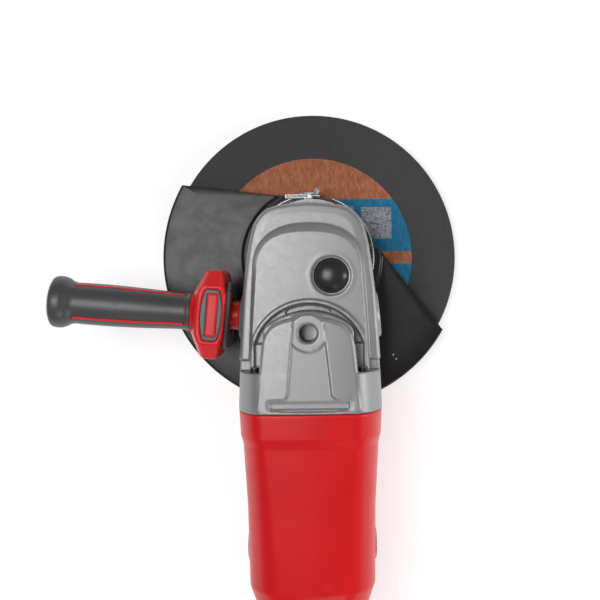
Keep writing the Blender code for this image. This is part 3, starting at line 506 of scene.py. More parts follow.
def paper_label():
    """A round paper label in bands, with the wheel's weave showing through."""
    orange, blue, pale = (0.43, 0.118, 0.050), (0.004, 0.155, 0.32), (0.45, 0.48, 0.53)
    paint = Paint("wheel_label", orange, 0.6, Specular_IOR_Level=0.25)
    x, y, _ = paint.axes()

    def between(value, low, high, soft=0.25):
        up = paint.ramp(value, (low - soft) * MM, (low + soft) * MM)
        down = paint.ramp(value, (high - soft) * MM, (high + soft) * MM, 1.0, 0.0)
        return paint.math("MULTIPLY", up, down)

    mottle = paint.noise(2.4, 5, 0.75, paint.mapped((1, 0.45, 1), (0, 0, math.radians(35))))
    warm = paint.mix(paint.ramp(mottle, 0.3, 0.72), shade(orange, 0.66), (0.54, 0.20, 0.10))
    cool = paint.mix(paint.ramp(mottle, 0.3, 0.72), shade(blue, 0.75), (0.02, 0.23, 0.41))
    field = paint.math("MAXIMUM", between(y, 4.5, 47), between(y, -47, -5.5))
    colour = paint.mix(field, warm, cool)
    patch = paint.math("MULTIPLY", between(x, 39.5, 64), between(y, 15.0, 40.5))
    corner = paint.math("MULTIPLY", between(x, 24, 33.4), between(y, 33, 41.5))
    level = paint.noise(9, 1, 0.5, paint.mapped((1, 1.4, 1)), 1.5)
    step = paint.math("FRACT", paint.math("MULTIPLY", level, 7.0))
    fold = paint.math("ABSOLUTE", paint.math("SUBTRACT", step, 0.5))
    lines = paint.ramp(fold, 0.06, 0.20)
    picture = paint.mix(paint.math("MULTIPLY", lines, paint.ramp(mottle, 0.2, 0.7)), (0.13, 0.14, 0.16), pale)
    colour = paint.mix(paint.math("MAXIMUM", patch, corner), colour, picture)
    paint.colour(colour)
    paint.rough(paint.ramp(mottle, 0.3, 0.7, 0.5, 0.75))
    paint.bump((fibre(paint), 0.06), (mottle, 0.22), (paint.noise(0.5, 2), 0.05))
    return paint.material


def floor_paper():
    paint = Paint("floor_paper", (0.60, 0.60, 0.60), 0.8)
    paint.colour(paint.mix(paint.noise(90, 2), (0.58, 0.58, 0.58), (0.62, 0.62, 0.62)))
    paint.bump((paint.noise(1.5, 3), 0.02))
    paint.shader.inputs["Emission Color"].default_value = (1, 1, 1, 1)
    paint.shader.inputs["Emission Strength"].default_value = 0.60
    return paint.material


PAINTS = {
    "cast_alloy": cast_alloy(),
    "red_nylon": moulded("red_nylon", (0.72, 0.009, 0.012), 0.32, 0.46, 0.8, 0.012, 0.28),
    "black_rubber": moulded("black_rubber", (0.060, 0.060, 0.061), 0.38, 0.52, 0.5, 0.03, 0.6),
    "black_nylon": moulded("black_nylon", (0.022, 0.022, 0.023), 0.28, 0.42, 0.6, 0.012),
    "guard_steel": guard_steel(),
    "bright_steel": plated(),
    "ground_steel": ground(),
    "black_steel": blackened(),
    "abrasive": abrasive(),
    "laminations": layered("laminations", (0.10, 0.10, 0.11), (0.34, 0.34, 0.35), 0.5, "Y", 0.45, 0.8),
    "copper": layered("copper_wire", (0.42, 0.15, 0.06), (0.72, 0.33, 0.15), 0.9, "Z", 0.32, 0.9),
    "carbon": layered("carbon", (0.015, 0.015, 0.016), (0.045, 0.045, 0.046), 0.8, "X", 0.6, 0.1),
    "brass": layered("brass", (0.50, 0.33, 0.11), (0.68, 0.50, 0.20), 1.2, "X", 0.3, 1.0),
}
LABEL = paper_label()
SLOT_OF = {
    "cast_alloy": ("bearing_flange",),
    "black_nylon": ("air_baffle", "switch_body", "cooling_fan"),
    "bright_steel": (
        "spindle_bearing", "spindle_top_bearing", "pinion_bearing", "rear_bearing", "lock_spring",
    ),
    "ground_steel": (
        "spindle", "ring_gear", "inner_flange", "clamp_nut", "armature_shaft", "pinion_gear",
        "side_handle_stud", "trigger_pin", "lock_pin",
    ),
    "black_steel": ("clamp_pin",),
    "laminations": ("stator_core", "armature_core"),
    "copper": (
        "field_coil_upper", "field_coil_lower", "armature_winding_front", "armature_winding_rear",
        "commutator",
    ),
    "brass": ("brush_holder_left", "brush_holder_right"),
    "carbon": ("carbon_brush_left", "carbon_brush_right"),
}


def dress_frame():
    """Gives each CAD node that stays in view its procedural finish."""
    for slot, names in SLOT_OF.items():
        for name in names:
            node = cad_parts[name]
            node.data.materials.clear()
            node.data.materials.append(PAINTS[slot])


# Gear case


FRONT_OUTLINE = (
    (0, 38.6), (12.9, 37.7), (23.0, 36.2), (29.6, 34.0), (33.6, 30.9), (37.1, 27.0), (39.3, 23.0),
    (41.6, 15.5), (43.5, 7.0), (45.6, -8.0), (47.6, -24.7), (50.1, -64.0), (51.3, -84.0), (51.3, -100.0),
    (0, -100.0),
)


def lookup(points, step=0.5, edge=8.0):
    """The distance from a mirrored outline, worked out once on a flat grid and read between its points."""
    outline = np.array(points, float)
    xs = np.arange(-edge, outline[:, 0].max() + edge, step)
    ys = np.arange(outline[:, 1].min() - edge, outline[:, 1].max() + edge, step)
    corners = list(points) + [(-x, y) for x, y in points[-2:0:-1]]
    grid = polygon(*np.meshgrid(xs, ys, indexing="ij"), corners)

    def distance(x, y):
        i = np.clip((np.abs(x) - xs[0]) / step, 0, len(xs) - 1.001)
        j = np.clip((y - ys[0]) / step, 0, len(ys) - 1.001)
        i0, j0 = i.astype(int), j.astype(int)
        a, b = i - i0, j - j0
        near = grid[i0, j0] * (1 - b) + grid[i0, j0 + 1] * b
        far = grid[i0 + 1, j0] * (1 - b) + grid[i0 + 1, j0 + 1] * b
        return near * (1 - a) + far * a

    return distance


case_outline = lookup(FRONT_OUTLINE)


def case_width(y):
    return 48 + 0.0375 * np.maximum(-8 - y, 0)


def arched(x, y, radius, centre, half, corner):
    """An arc towards the front with straight sides behind it."""
    return cross(np.hypot(x, np.maximum(y - centre, 0)) - radius, np.abs(x) - half, corner)


def corner_section(u, v, wide, tall):
    """Distance from a corner that is a quarter ellipse; u and v are measured from its centre."""
    a, b = np.maximum(u, 0) / wide, np.maximum(v, 0) / tall
    g = np.maximum(np.hypot(a, b), 1e-6)
    return (g - 1) / np.maximum(np.hypot(a / wide, b / tall) / g, 1 / np.maximum(wide, tall))


def crowned(x, z, half):
    """Height with the slight crown of the tool's top taken out."""
    return z + CROWN * np.clip(np.abs(x) / half, 0, 1) ** 2 * ease((z - 100) / 20)


def case_top(x, y):
    """Height of the case's front part: a flat border, a sloping wall and a crowned plateau."""
    back = np.maximum(-12 - y, 0)
    border = -oval(x, y, 40.3 + 0.05 * back, 35.3, 2.4, -12)
    plateau = oval(x, y, 37.5 + 0.07 * back, 29.0, 2.6, -12)
    t = np.clip(border / (np.maximum(border, 0) + np.maximum(plateau, 0) + 1e-6), 0, 1)
    crown = 0.8 * np.clip(1 - (x / 38) ** 2, 0, 1)
    ring = np.hypot(x - LOCK_X, y - LOCK_Y)
    slope = 0.9 * np.clip(border_fall(x, y), 0, 1)
    rise = t * (PLATEAU_RISE + crown + slope)
    return BORDER_Z - slope + rise + 0.15 * ease((18.5 - ring) / 3)


def border_fall(x, y):
    """From 1 at the case's outer edge to 0 at the foot of the plateau's wall."""
    return 1 + case_outline(x, y) / 8.0


def rear_case(x, y, z):
    half = case_width(y) - 0.3
    z = crowned(x, z, half - 20)
    return corner_section(np.abs(x) - (half - 20), np.abs(z - MOTOR_Z) - 9.5, 20, 40)


def panel(x, y):
    """The T-shaped field on the dome."""
    run = -42 - y
    stem = np.maximum(np.abs(x - 0.012 * run) - 9.8 - 0.098 * run, slab(y, -106, -30))
    return blend(stem, box2(x, y, 0.8, -104, 30, 4, 2.5), 4)


def gear_case_shape(x, y, z):
    arch = arched(x, y, 43, -74.5, 41.5, 3)
    case = cross(cross(z - case_top(x, y), case_outline(x, y), 3.2), CASE_LOW - z, 1.2)
    case = cross(case, -74.6 - 9.4 * ease((43.2 - np.abs(x)) / 1.0) - y, 0.8)
    # The fan's air leaves through a crescent in the trench under the arch.
    floor = 107 + 4 * ease((-61.8 - y) / 2.8)
    case = carve(case, cross(arch + 2.4, floor - z, 0.8), 0.5)
    crescent = cross(np.abs(arch + 6.0) - 1.75, np.abs(x + 0.4) - 16, 1.5)
    case = carve(case, np.maximum(crescent, 104.4 - z), 0.4)
    rear = rear_case(x, y, z)
    low_rear = cross(cross(rear, y + 72.5, 1.0), z - 101.6, 1.2)
    case = blend(case, low_rear, 0.6)
    lip = cross(np.abs(arch + 1.3) - 1.3, z - LIP_Z + 1.2 * ease((-60 - y) / 4), 0.5)
    lip = np.maximum(lip, np.maximum(100 - z, -84 - y))
    case = blend(case, lip, 1.3)
    high_rear = cross(rear, y + 82, 1.0)
    top = MOTOR_Z + FLAT_TOP - 0.1 - CROWN * np.clip(x / 31.5, -1, 1) ** 2
    dome = cross(arched(x, y, 55, -98, 31 + 0.1 * np.maximum(-50 - y, 0), 8), z - top, 2.6)
    dome = np.maximum(dome, np.maximum(95 - z, -108 - y))
    ledge = cross(arched(x, y, 48.5, -88.3, 31.6, 3), z - LEDGE_Z, 1.3)
    ledge = np.maximum(ledge, np.maximum(95 - z, -84 - y))
    slope = (z - 132 + 1.04 * (y + 45.5)) * 0.69
    wedge = np.maximum(cross(cross(np.abs(x) - 11, y + 40.9, 1.0), slope, 0.6), slab(y, -60, -38))
    wedge = np.maximum(wedge, 110 - z)
    case = np.minimum(blend(blend(case, ledge, 0.8), high_rear, 0.6), dome)
    case = blend(case, wedge, 0.4)
    field = panel(x, y)
    case = carve(case, cross(field, 132.0 - z, 0.6), 0.5)
    foot = cross(box2(x, y, 0.6, -104.2, 27.4, 2.4, 1.5), 131.0 - z, 0.7)
    case = carve(case, foot, 0.6)
    hole = np.hypot(x, y - TOP_BOSS_Y)
    case = blend(case, cross(hole - 13.0, slab(z, 110, 133.0), 0.7), 0.5)
    for side in (-1, 1):
        forward = y - SIDE_START[1]
        along = side * math.cos(SIDE_TILT) * x + math.sin(SIDE_TILT) * forward
        across = -math.sin(SIDE_TILT) * x * side + math.cos(SIDE_TILT) * forward
        round_axis = np.hypot(across, z - MOTOR_Z)
        boss = cross(round_axis - 16, slab(along, 30, 51), 1.0)
        case = blend(case, boss, 2.2)
        mouth = 6.9 + np.clip(along - 50.0, 0, 1.5)
        case = carve(case, np.maximum(round_axis - mouth, 34 - along), 0.2)
    lock = np.hypot(x - LOCK_X, y - LOCK_Y)
    case = carve(case, cross(lock - 14.2, 108.6 - z, 0.5), 0.4)
    case = carve(case, np.maximum(lock - 12.3, 98 - z), 0.3)
    case = carve(case, np.maximum(hole - 6.2 - np.clip(z - 131.7, 0, 1.6), 113 - z), 0.2)
    low_channel = cross(slab(np.abs(x), 33.2, 42.8), cross(slab(y, -81.2, -30), z - 54.8, 1.0), 1.0)
    case = carve(case, low_channel, 0.5)
    screw = np.hypot(np.abs(x) - CASE_SCREW_X, np.abs(z - MOTOR_Z) - CASE_SCREW_RISE)
    case = carve(case, np.maximum(screw - 3.9, slab(y, -83.2, -60)), 0.3)
    return cross(case, CASE_REAR - y, 0.3)


def gear_case():
    solid("case_shell", gear_case_shape, (-54.5, -112, 32.5), (54.5, 41, 136), 0.8, "housing",
          PAINTS["cast_alloy"], ("gear_case",))


# Motor housing and rear handle


def section(x, y, z, table, crown=False):
    """Distance from a round-cornered section that changes along Y; a row is (y, half width, half height,
    corner width, corner height, middle)."""
    table = np.array(sorted(table), float)
    half, height, wide, tall, middle = [np.interp(y, table[:, 0], table[:, k]) for k in range(1, 6)]
    z = crowned(x, z, half - wide) if crown else z
    return corner_section(np.abs(x) - (half - wide), np.abs(z - middle) - (height - tall), wide, tall)


HOUSING = (
    (-110, 51.5, 49.5, 20, 40, 84), (-128, 50.6, 48.9, 20, 40, 84), (-134, 49.0, 47.6, 20, 40, 84),
    (-178, 46.2, 46.0, 22, 36, 84), (-236, 45.2, 45.2, 26, 36, 84), (-252, 40, 41.5, 28, 34, 84),
    (-264, 33, 36, 24, 26, 84),
)
HANDLE = (
    (-258, 36.0, 38.0, 22, 22, 84.0), (-276, 33.0, 36.5, 22, 22, 84.0), (-292, 28.0, 33.5, 20, 20, 85.0),
    (-310, 26.0, 31.0, 19, 19, 86.5), (-350, 26.0, 29.5, 19, 19, 88.0), (-390, 26.5, 30.0, 19, 19, 87.5),
    (-412, 28.5, 34.0, 20, 20, 84.5), (-428, 30.5, 39.0, 20, 20, 80.5), (-442, 28.0, 37.0, 18, 18, 79.5),
)
BRUSH_Y = -211.5
SCREWS = ((-274.0, 105.0), (-305.0, 107.5), (-400.0, 106.0), (-420.0, 54.0))


def motor_shape(x, y, z):
    body = cross(section(x, y, z, HOUSING, True), slab(y, -262, -110.35), 0.8)
    # Air slots on both sides at the back, over dark ground.
    for row in range(6):
        slot = box2(y, z, -232, 70 + 5.6 * row, 14 - 1.5 * abs(row - 2.5), 1.4, 1.4)
        body = carve(body, np.maximum(slot, 38 - np.abs(x)), 0.5)
    cap = np.hypot(y - BRUSH_Y, z - MOTOR_Z)
    body = blend(body, cross(cap - 11.0, np.abs(x) - 46.6, 0.8), 1.5)
    body = carve(body, cross(cap - 9.0, 45.4 - np.abs(x), 0.3), 0.3)
    plate = cross(box2(y, z, -165, 84, 22, 15, 3), 45.2 + 0.035 * (y + 236) - np.abs(x), 0.3)
    body = carve(body, plate, 0.3)
    return body


def brush_cap(side):
    def shape(x, y, z):
        across = np.hypot(y - BRUSH_Y, z - MOTOR_Z)
        cap = cross(across - 8.7, slab(side * x, 43.5, 46.9), 0.8)
        return carve(cap, np.maximum(np.abs(y - BRUSH_Y) - 0.9, 46.0 - side * x), 0.2)
    return shape


def motor_housing():
    solid("motor_shell", motor_shape, (-53.5, -264, 32), (53.5, -108, 136), 1.0, "housing",
          PAINTS["red_nylon"], ("motor_housing",))
    for side, name in ((-1, "left"), (1, "right")):
        low, high = sorted((side * 42.0, side * 48.5))
        solid(f"brush_cap_{name}", brush_cap(side), (low, BRUSH_Y - 10, 74), (high, BRUSH_Y + 10, 94), 0.5,
              "housing", PAINTS["black_nylon"])


def handle_body(x, y, z):
    return cross(section(x, y, z, HANDLE), slab(y, -440, -262.35), 1.5)


def grip_zone(y, z):
    """Where the soft grip covers the handle, seen from the side."""
    return cross(cross(slab(y, -424, -300), 66 + 0.02 * (y + 300) - z, 3), z - 130, 3)


def handle_half(side):
    def shape(x, y, z):
        half = handle_body(x, y, z)
        half = carve(half, box3(x, y, z, (-8.5, -392, 20), (8.5, -282, 82), 0.8), 0.6)
        half = carve(half, cross(grip_zone(y, z), -1.6 - half, 0.3), 0.3)
        for place, height in SCREWS:
            pocket = np.hypot(y - place, z - height)
            half = carve(half, np.maximum(pocket - 4.6, 15.4 - np.abs(x)), 0.4)
        inlet = np.hypot(x, z - GLAND_Z)
        half = carve(half, np.maximum(inlet - 9.2, y + 430), 0.3)
        return cross(half, 0.15 - side * x, 0.35)
    return shape


def soft_grip(side):
    def shape(x, y, z):
        skin = handle_body(x, y, z)
        ribs = 0.35 * np.clip(np.sin(y * 2 * math.pi / 5.2) * 2, -1, 1) * (np.abs(z - 88) < 40)
        grip = cross(skin - 0.75 - ribs * ease((np.abs(x) - 12) / 6), -skin - 1.5, 0.3)
        grip = cross(grip, grip_zone(y, z) + 0.35, 0.6)
        for place, height in SCREWS:
            grip = carve(grip, np.hypot(y - place, z - height) - 5.4, 0.4)
        return cross(grip, 0.35 - side * x, 0.3)
    return shape


def rear_handle():
    for side, name in ((-1, "left"), (1, "right")):
        low, high = sorted((side * -1.0, side * 37.5))
        solid(f"handle_half_{name}", handle_half(side), (low, -442, 38), (high, -260, 125), 1.0, "housing",
              PAINTS["red_nylon"], (f"rear_handle_{name}",))
        solid(f"handle_grip_{name}", soft_grip(side), (low, -428, 55), (high, -295, 125), 0.9, "housing",
              PAINTS["black_rubber"])
    for index, (y, z) in enumerate(SCREWS):
        socket_screw(f"handle_screw_{index + 1}", 4.0, 3.2, 1.5, "housing", f"rear_handle_screw_{index + 1}",
                     lambda p, y=y, z=z: np.stack([18.5 - p[:, 2], p[:, 0] + y, p[:, 1] + z], 1))
    outline = [(4.7, -428), (8.9, -428), (8.9, -440.5), (8.5, -441.5)]
    for y, radius in ((-443.0, 8.4), (-449.5, 7.8), (-456.0, 7.2)):
        outline += [(radius - 0.5, y), (radius, y - 0.5), (radius, y - 3.0), (radius - 0.5, y - 3.5),
                    (radius - 1.6, y - 3.7), (radius - 1.6, y - 5.2)]
    outline += [(5.6, -463.6), (5.2, -464), (4.7, -464)]
    turned("gland", outline, "housing", PAINTS["black_rubber"], ("cord_gland",), 48,
           lambda p: np.stack([p[:, 0], p[:, 2], GLAND_Z + p[:, 1]], 1))


def socket_screw(name, radius, head, key, body, node, place):
    """A round head with a six-sided socket, its free face at zero and its head running up."""
    def shape(x, y, z):
        across = np.hypot(x, y)
        screw = cross(across - radius, slab(z, 0, head), 0.45)
        hexagon = np.maximum(np.abs(y), np.abs(x) * 0.866 + np.abs(y) * 0.5) - key
        return carve(screw, np.maximum(hexagon, z - head * 0.55), 0.15)
    edge = radius + 0.8
    solid(name, shape, (-edge, -edge, -0.8), (edge, edge, head + 0.8), 0.3, body, PAINTS["black_steel"],
          (node,), place)


def case_screws():
    for index, (x, y) in enumerate(polar(FLANGE_SCREW_CIRCLE, a) for a in (45, 135, 225, 315)):
        number = index + 1
        socket_screw(f"flange_screw_{number}", 4.2, 4.6, 1.9, "housing", f"bearing_flange_screw_{number}",
                     shifted(x, y, 24.9))
    places = [(side * CASE_SCREW_X, MOTOR_Z + rise * CASE_SCREW_RISE) for rise in (1, -1) for side in (1, -1)]
    for index, (x, z) in enumerate(places):
        socket_screw(
            f"case_screw_{index + 1}", 3.5, 4.6, 1.6, "housing", f"gear_case_screw_{index + 1}",
            lambda p, x=x, z=z: np.stack([p[:, 0] + x, CASE_SCREW_FACE - p[:, 2], p[:, 1] + z], 1),
        )


PADDLE = [
    (-284.0, 66.0), (-287.0, 72.0), (-294.0, 72.5), (-300.0, 66.5), (-384.0, 65.5), (-388.0, 62.0),
    (-388.5, 52.0), (-380.0, 47.5), (-340.0, 48.5), (-300.0, 49.0), (-290.0, 51.0), (-286.0, 58.0),
]


def trigger_shape(x, y, z):
    paddle = cross(polygon(y, z, PADDLE), np.abs(x) - 7.6, 2.0)
    paddle = carve(paddle, cross(cross(np.abs(x) - 4.3, slab(y, -325, -300), 0.3), 40 - z, 0.3), 0.3)
    grooves = np.abs(((y + 335) % 6.0) - 3.0) - 0.8
    grooves = np.maximum(grooves, np.maximum(slab(y, -378, -332), z - 49.3))
    return carve(paddle, grooves, 0.4)


def lock_off_shape(x, y, z):
    block = box3(x, y, z, (-4, -322, 44), (4, -304, 68), 1.2)
    ridges = np.maximum(np.abs(((y + 313) % 3.0) - 1.5) - 0.45, z - 44.7)
    return carve(block, np.maximum(ridges, slab(y, -320, -306)), 0.2)


def trigger():
    solid("trigger_paddle", trigger_shape, (-9.5, -391, 45), (9.5, -282, 75), 0.7, "trigger",
          PAINTS["black_nylon"], ("trigger",))
    solid("lock_off_slide", lock_off_shape, (-5.5, -324, 42.5), (5.5, -302, 70), 0.5, "trigger_lock_off",
          PAINTS["red_nylon"], ("trigger_lock_off",))


# Wheel and guard


CUT_ANGLE = 67.5
COLLAR_REACH = 47.4


def wheel():
    low, high = WHEEL_LOW, WHEEL_HIGH
    rim = [(WHEEL_BORE, low), (WHEEL_RADIUS - 0.5, low), (WHEEL_RADIUS, low + 0.4),
           (WHEEL_RADIUS, high - 0.4), (WHEEL_RADIUS - 0.5, high), (WHEEL_BORE, high)]
    fine = []
    for (r0, z0), (r1, z1) in zip(rim, rim[1:]):
        steps = max(1, int(abs(r1 - r0) / 4))
        fine += [(r0 + (r1 - r0) * i / steps, z0 + (z1 - z0) * i / steps) for i in range(steps)]
    turned("wheel_body", fine + [rim[-1]], "spindle", PAINTS["abrasive"], ("cut_off_disc",), 192)
    sheets = (("wheel_label_top", high - 0.05, high + 0.12), ("wheel_label_low", low - 0.12, low + 0.05))
    for name, z0, z1 in sheets:
        outline = [(22.6, z0), (50, z0), (80.1, z0), (80.1, z1), (50, z1), (22.6, z1)]
        turned(name, outline, "spindle", LABEL, (), 160)
    turned("hub_ring", [(11.15, 9.45), (17.5, 9.45), (18.0, 9.8), (11.15, 9.8)], "spindle",
           PAINTS["bright_steel"], (), 64)


def guard_edge(angle):
    """How far out the guard's sheet reaches at an angle, and whether it has its rim there."""
    a = angle % 360
    if a >= 180:
        return GUARD_RADIUS, True
    a = min(a, 180 - a)
    if a >= CUT_ANGLE:
        return COLLAR_REACH, False
    corner, foot = np.array([GUARD_RADIUS, 0.0]), np.array(polar(46, CUT_ANGLE))
    reach, _ = np.linalg.solve(np.stack([np.array(polar(1, a)), corner - foot], 1), corner)
    return max(COLLAR_REACH, float(reach)), False


def guard_profile(reach, rimmed):
    """(radius, height) of the sheet from the collar to its edge and back, always as many points."""
    bend, thick = 2.4, 2.3
    top, under = GUARD_TOP, GUARD_UNDER
    low = GUARD_LOW if rimmed else under - 0.1
    points = [(45.8, 21.2), (45.8, 39.5), (46.1, 40.0), (46.8, 40.0), (47.2, 39.5), (47.2, 28.6),
              (47.5, 27.6), (48.2, 27.1)]
    tail = [(53.6, 27.0), (54.2, 26.8), (54.7, 26.2), (55.4, 24.6), (56.0, 23.8), (56.9, 23.5)]
    points += [(min(r, reach - 0.4 + 0.001 * i), z) for i, (r, z) in enumerate(tail)]
    for share in (0.25, 0.5, 0.75):
        points.append((max(56.9, reach - bend) * share + 56.9 * (1 - share), top))
    points = [(min(r, reach), z) for r, z in points]
    edge = bend if rimmed else 0.5
    for k in range(5):
        a = math.pi / 2 * k / 4
        points.append((reach - edge + edge * math.sin(a), top - edge + edge * math.cos(a)))
    points += [(reach, (top + low) / 2), (reach, low + 0.7), (reach - 0.3, low + 0.1), (reach - 0.7, low)]
    inner = reach - thick if rimmed else reach - 0.9
    points += [(inner + 0.7, low), (inner + 0.2, low + 0.2)]
    if rimmed:
        points += [(inner, low + 0.7), (inner, under - 1.5), (inner - 1.5, under)]
    else:
        points += [(inner, low), (inner - 0.1, low), (inner - 0.2, low)]
    start = max(47.0, points[-1][0])
    return points + [(start * (1 - s) + 45.8 * s, under + 0.1) for s in (0.3, 0.6)]


def guard():
    steps = [i * 1.5 for i in range(240)]
    angles = sorted({*steps, 0.5, 1, CUT_ANGLE, 180 - CUT_ANGLE, 179, 179.5, 179.99, 359.99})
    rows = [guard_profile(*guard_edge(a)) for a in angles]
    points = []
    for a, row in zip(angles, rows):
        points += [(*polar(r, a + GUARD_TURN), z) for r, z in row]
    obj = cleaned(mesh_object("guard_sheet", points, ring_faces(len(rows), len(rows[0]))))
    finish_piece(obj, "guard", PAINTS["guard_steel"], ("guard_shell",))
    obj.data.set_sharp_from_angle(angle=math.radians(40))
    rivet = [(0, 23.3), (0.9, 23.3), (0.9, 23.6), (0.6, 23.9), (0, 24.0)]
    for index, (x, y) in enumerate(((63.5, -78.3), (65.9, -81.5))):
        turned(f"guard_rivet_{index + 1}", rivet, "guard", PAINTS["ground_steel"], (), 20,
               shifted(x, y))


def clamp():
    steps = 150
    band = [(47.5, 29.8), (47.5, 38.7), (47.8, 39.0), (48.7, 39.0), (49.0, 38.7), (49.0, 29.8), (48.7, 29.5),
            (47.8, 29.5)]
    points = []
    for i in range(steps + 1):
        points += [(*polar(r, 82 + 348 * i / steps), z) for r, z in band]
    count = len(band)
    faces = ring_faces(steps + 1, count, closed=False)
    faces += [tuple(range(count)), tuple(steps * count + k for k in reversed(range(count)))]
    strap = mesh_object("clamp_strap", points, faces)
    finish_piece(strap, "guard", PAINTS["bright_steel"], ("clamp_band",))
    strap.data.set_sharp_from_angle(angle=math.radians(50))
    pin = polar(LEVER_PIN_CIRCLE, LEVER_PIN_ANGLE)

    def eye(x, y, z):
        across = np.hypot(x - pin[0], y - pin[1])
        ring = cross(across - 2.1, slab(z, 29.8, 38.0), 0.4)
        pad = box3(x, y, z, (pin[0] - 1.8, 47.7, 29.9), (pin[0] + 1.6, 50.6, 37.9), 0.4)
        return carve(blend(ring, pad, 0.6), across - 1.2, 0.3)

    solid("clamp_eye", eye, (-0.5, 46.5, 28.5), (9.5, 56.5, 40), 0.35, "guard", PAINTS["black_steel"])

    def lever(x, y, z):
        radius = np.hypot(x, y)
        angle = np.degrees(np.arctan2(y, x))
        arc = cross(np.abs(radius - 50.1) - 0.7, cross(86.0 - angle, angle - 114.0, 0.3) * 0.87, 0.4)
        body = cross(arc, slab(z, 28.0, 40.0), 0.5)
        fork = cross(np.hypot(x - pin[0], y - pin[1]) - 2.0, np.abs(z - 34.3) - 5.2, 0.3)
        fork = carve(fork, np.abs(z - 34.3) - 4.2, 0.2)
        bar = cross(box2(x, y, -9.65, 47.55, 10.65, 1.85, 1.2), slab(z, 39.4, 41.2), 0.5)
        groove = np.maximum(box2(x, y, -10.5, 47.5, 8.2, 0.4, 0.4), 40.8 - z)
        bar = carve(bar, groove, 0.2)
        hook = cross(box2(x, y, -2.15, 44.6, 3.15, 2.2, 1.6), slab(z, 39.4, 40.9), 0.6)
        link = cross(box2(x, y, 2.4, 49.7, 3.4, 1.1, 0.8), slab(z, 38.4, 39.4), 0.3)
        return blend(blend(blend(blend(body, fork, 0.4), bar, 0.4), hook, 0.6), link, 0.5)

    solid("lever_plate", lever, (-24, 41, 26.5), (9, 56, 42.5), 0.45, "clamp_lever", PAINTS["bright_steel"],
          ("clamp_lever",))


# Side handle, made along Z from the middle of the tool


GRIP = np.array([
    (86.6, 15.6), (88.5, 14.2), (92, 13.3), (100, 13.5), (120, 14.6), (135, 15.1), (150, 15.4), (165, 15.3),
    (172, 15.1), (175, 15.8), (178, 17.6), (181, 18.9), (185, 19.1), (188, 18.6), (190, 16.8), (190.5, 15.0),
])


def smooth_radius(z):
    fine = np.linspace(GRIP[0, 0], GRIP[-1, 0], 400)
    radii = np.interp(fine, GRIP[:, 0], GRIP[:, 1])
    kernel = np.hanning(17)
    padded = np.pad(radii, 8, mode="edge")
    radii = np.convolve(padded, kernel / kernel.sum(), "valid")
    return np.interp(z, fine, radii)


STRIPES = (-64.0, 41.5)


def stripe_gap(x, y):
    """Distance round the grip from the nearest red line; the angle is measured from the top."""
    angle = np.degrees(np.arctan2(x, y))
    radius = np.hypot(x, y)
    gaps = []
    for centre in STRIPES + tuple(c + 180 for c in STRIPES):
        off = (angle - centre + 180) % 360 - 180
        gaps.append(np.abs(off) * math.pi / 180 * radius)
    return np.minimum(np.minimum(gaps[0], gaps[1]), np.minimum(gaps[2], gaps[3]))


def grip_shape(x, y, z):
    radius = np.hypot(x, y)
    skin = radius - smooth_radius(z)
    grip = cross(skin, slab(z, 87.0, 190.5), 2.2)
    groove = np.maximum(np.maximum(stripe_gap(x, y) - 0.85, -skin - 0.7), slab(z, 91, 172.5))
    return carve(grip, groove, 0.25)


def stripe(name, centre):
    """One red line of the core, standing flush in its groove."""
    points = []
    lengths = np.linspace(91.5, 172, 56)
    across = np.linspace(-0.8, 0.8, 5)
    for z in lengths:
        for offset in across:
            radius = smooth_radius(z) - 0.15 - 0.18 * (offset / 0.8) ** 2
            a = math.radians(centre) + offset / radius
            points.append((radius * math.sin(a), radius * math.cos(a), z))
    faces = ring_faces(len(lengths), len(across), closed=False, round_section=False)
    faces = [face[::-1] for face in faces]
    line = mesh_object(name, beside(np.array(points)), faces)
    thick = line.modifiers.new("thickness", "SOLIDIFY")
    thick.thickness = 0.6 * MM
    thick.offset = -1
    return finish_piece(line, "housing", PAINTS["red_nylon"], ())


def flange_outline(x, y):
    """The flange across the handle's axis: a square with its corners cut off."""
    square = np.maximum(np.abs(x), np.abs(y))
    return np.maximum(square, (np.abs(x) + np.abs(y)) * 0.7071 - 5.35)


def core_shape(x, y, z):
    outward = np.clip((np.abs(x) - 14.5) / 17.2, 0, 1.2)
    upward = np.clip((np.abs(y) - 10) / 21.7, 0, 1.2)
    low, high = 60.0 + 4.5 * outward, 85.6 - 8 * outward - 5.5 * upward
    flange = cross(flange_outline(x, y) - 31.7, np.maximum(low - z, z - high) * 0.9, 1.8)
    radius = np.hypot(x, y)
    core = blend(flange, cross(radius - 10.6, slab(z, 51.6, 66), 0.6), 1.0)
    core = blend(core, cross(radius - 13.4, slab(z, 80, 88.5), 0.8), 2.5)
    return carve(core, cross(barrel(x, z), 30.6 - np.abs(y), 0.2), 0.3)


def barrel(u, z):
    waist = 8.2 - 3.2 * (u / 19.0) ** 2
    return cross(np.abs(z - 69.2) - waist, np.abs(u) - 18.6, 2.2)


def inlay_shape(sign):
    def shape(x, y, z):
        plate = cross(barrel(x, z) + 0.25, slab(sign * y, 26.0, 31.4), 0.8)
        bar_space = cross(np.abs(z - 68.8) - 3.9, np.abs(x) - 15.2, 1.0)
        return carve(plate, np.maximum(bar_space, 29.8 - sign * y), 0.4)
    return shape


def bar_shape(sign):
    def shape(x, y, z):
        return cross(cross(np.abs(z - 68.8) - 3.5, np.abs(x) - 14.8, 0.9), slab(sign * y, 28.0, 32.0), 0.8)
    return shape


def flange_back(x, y, z):
    seat = cross(flange_outline(x, y) - 24, 11.5 - np.hypot(x, y), 0.5)
    return cross(seat, slab(z, 57.6, 61.0), 1.2)


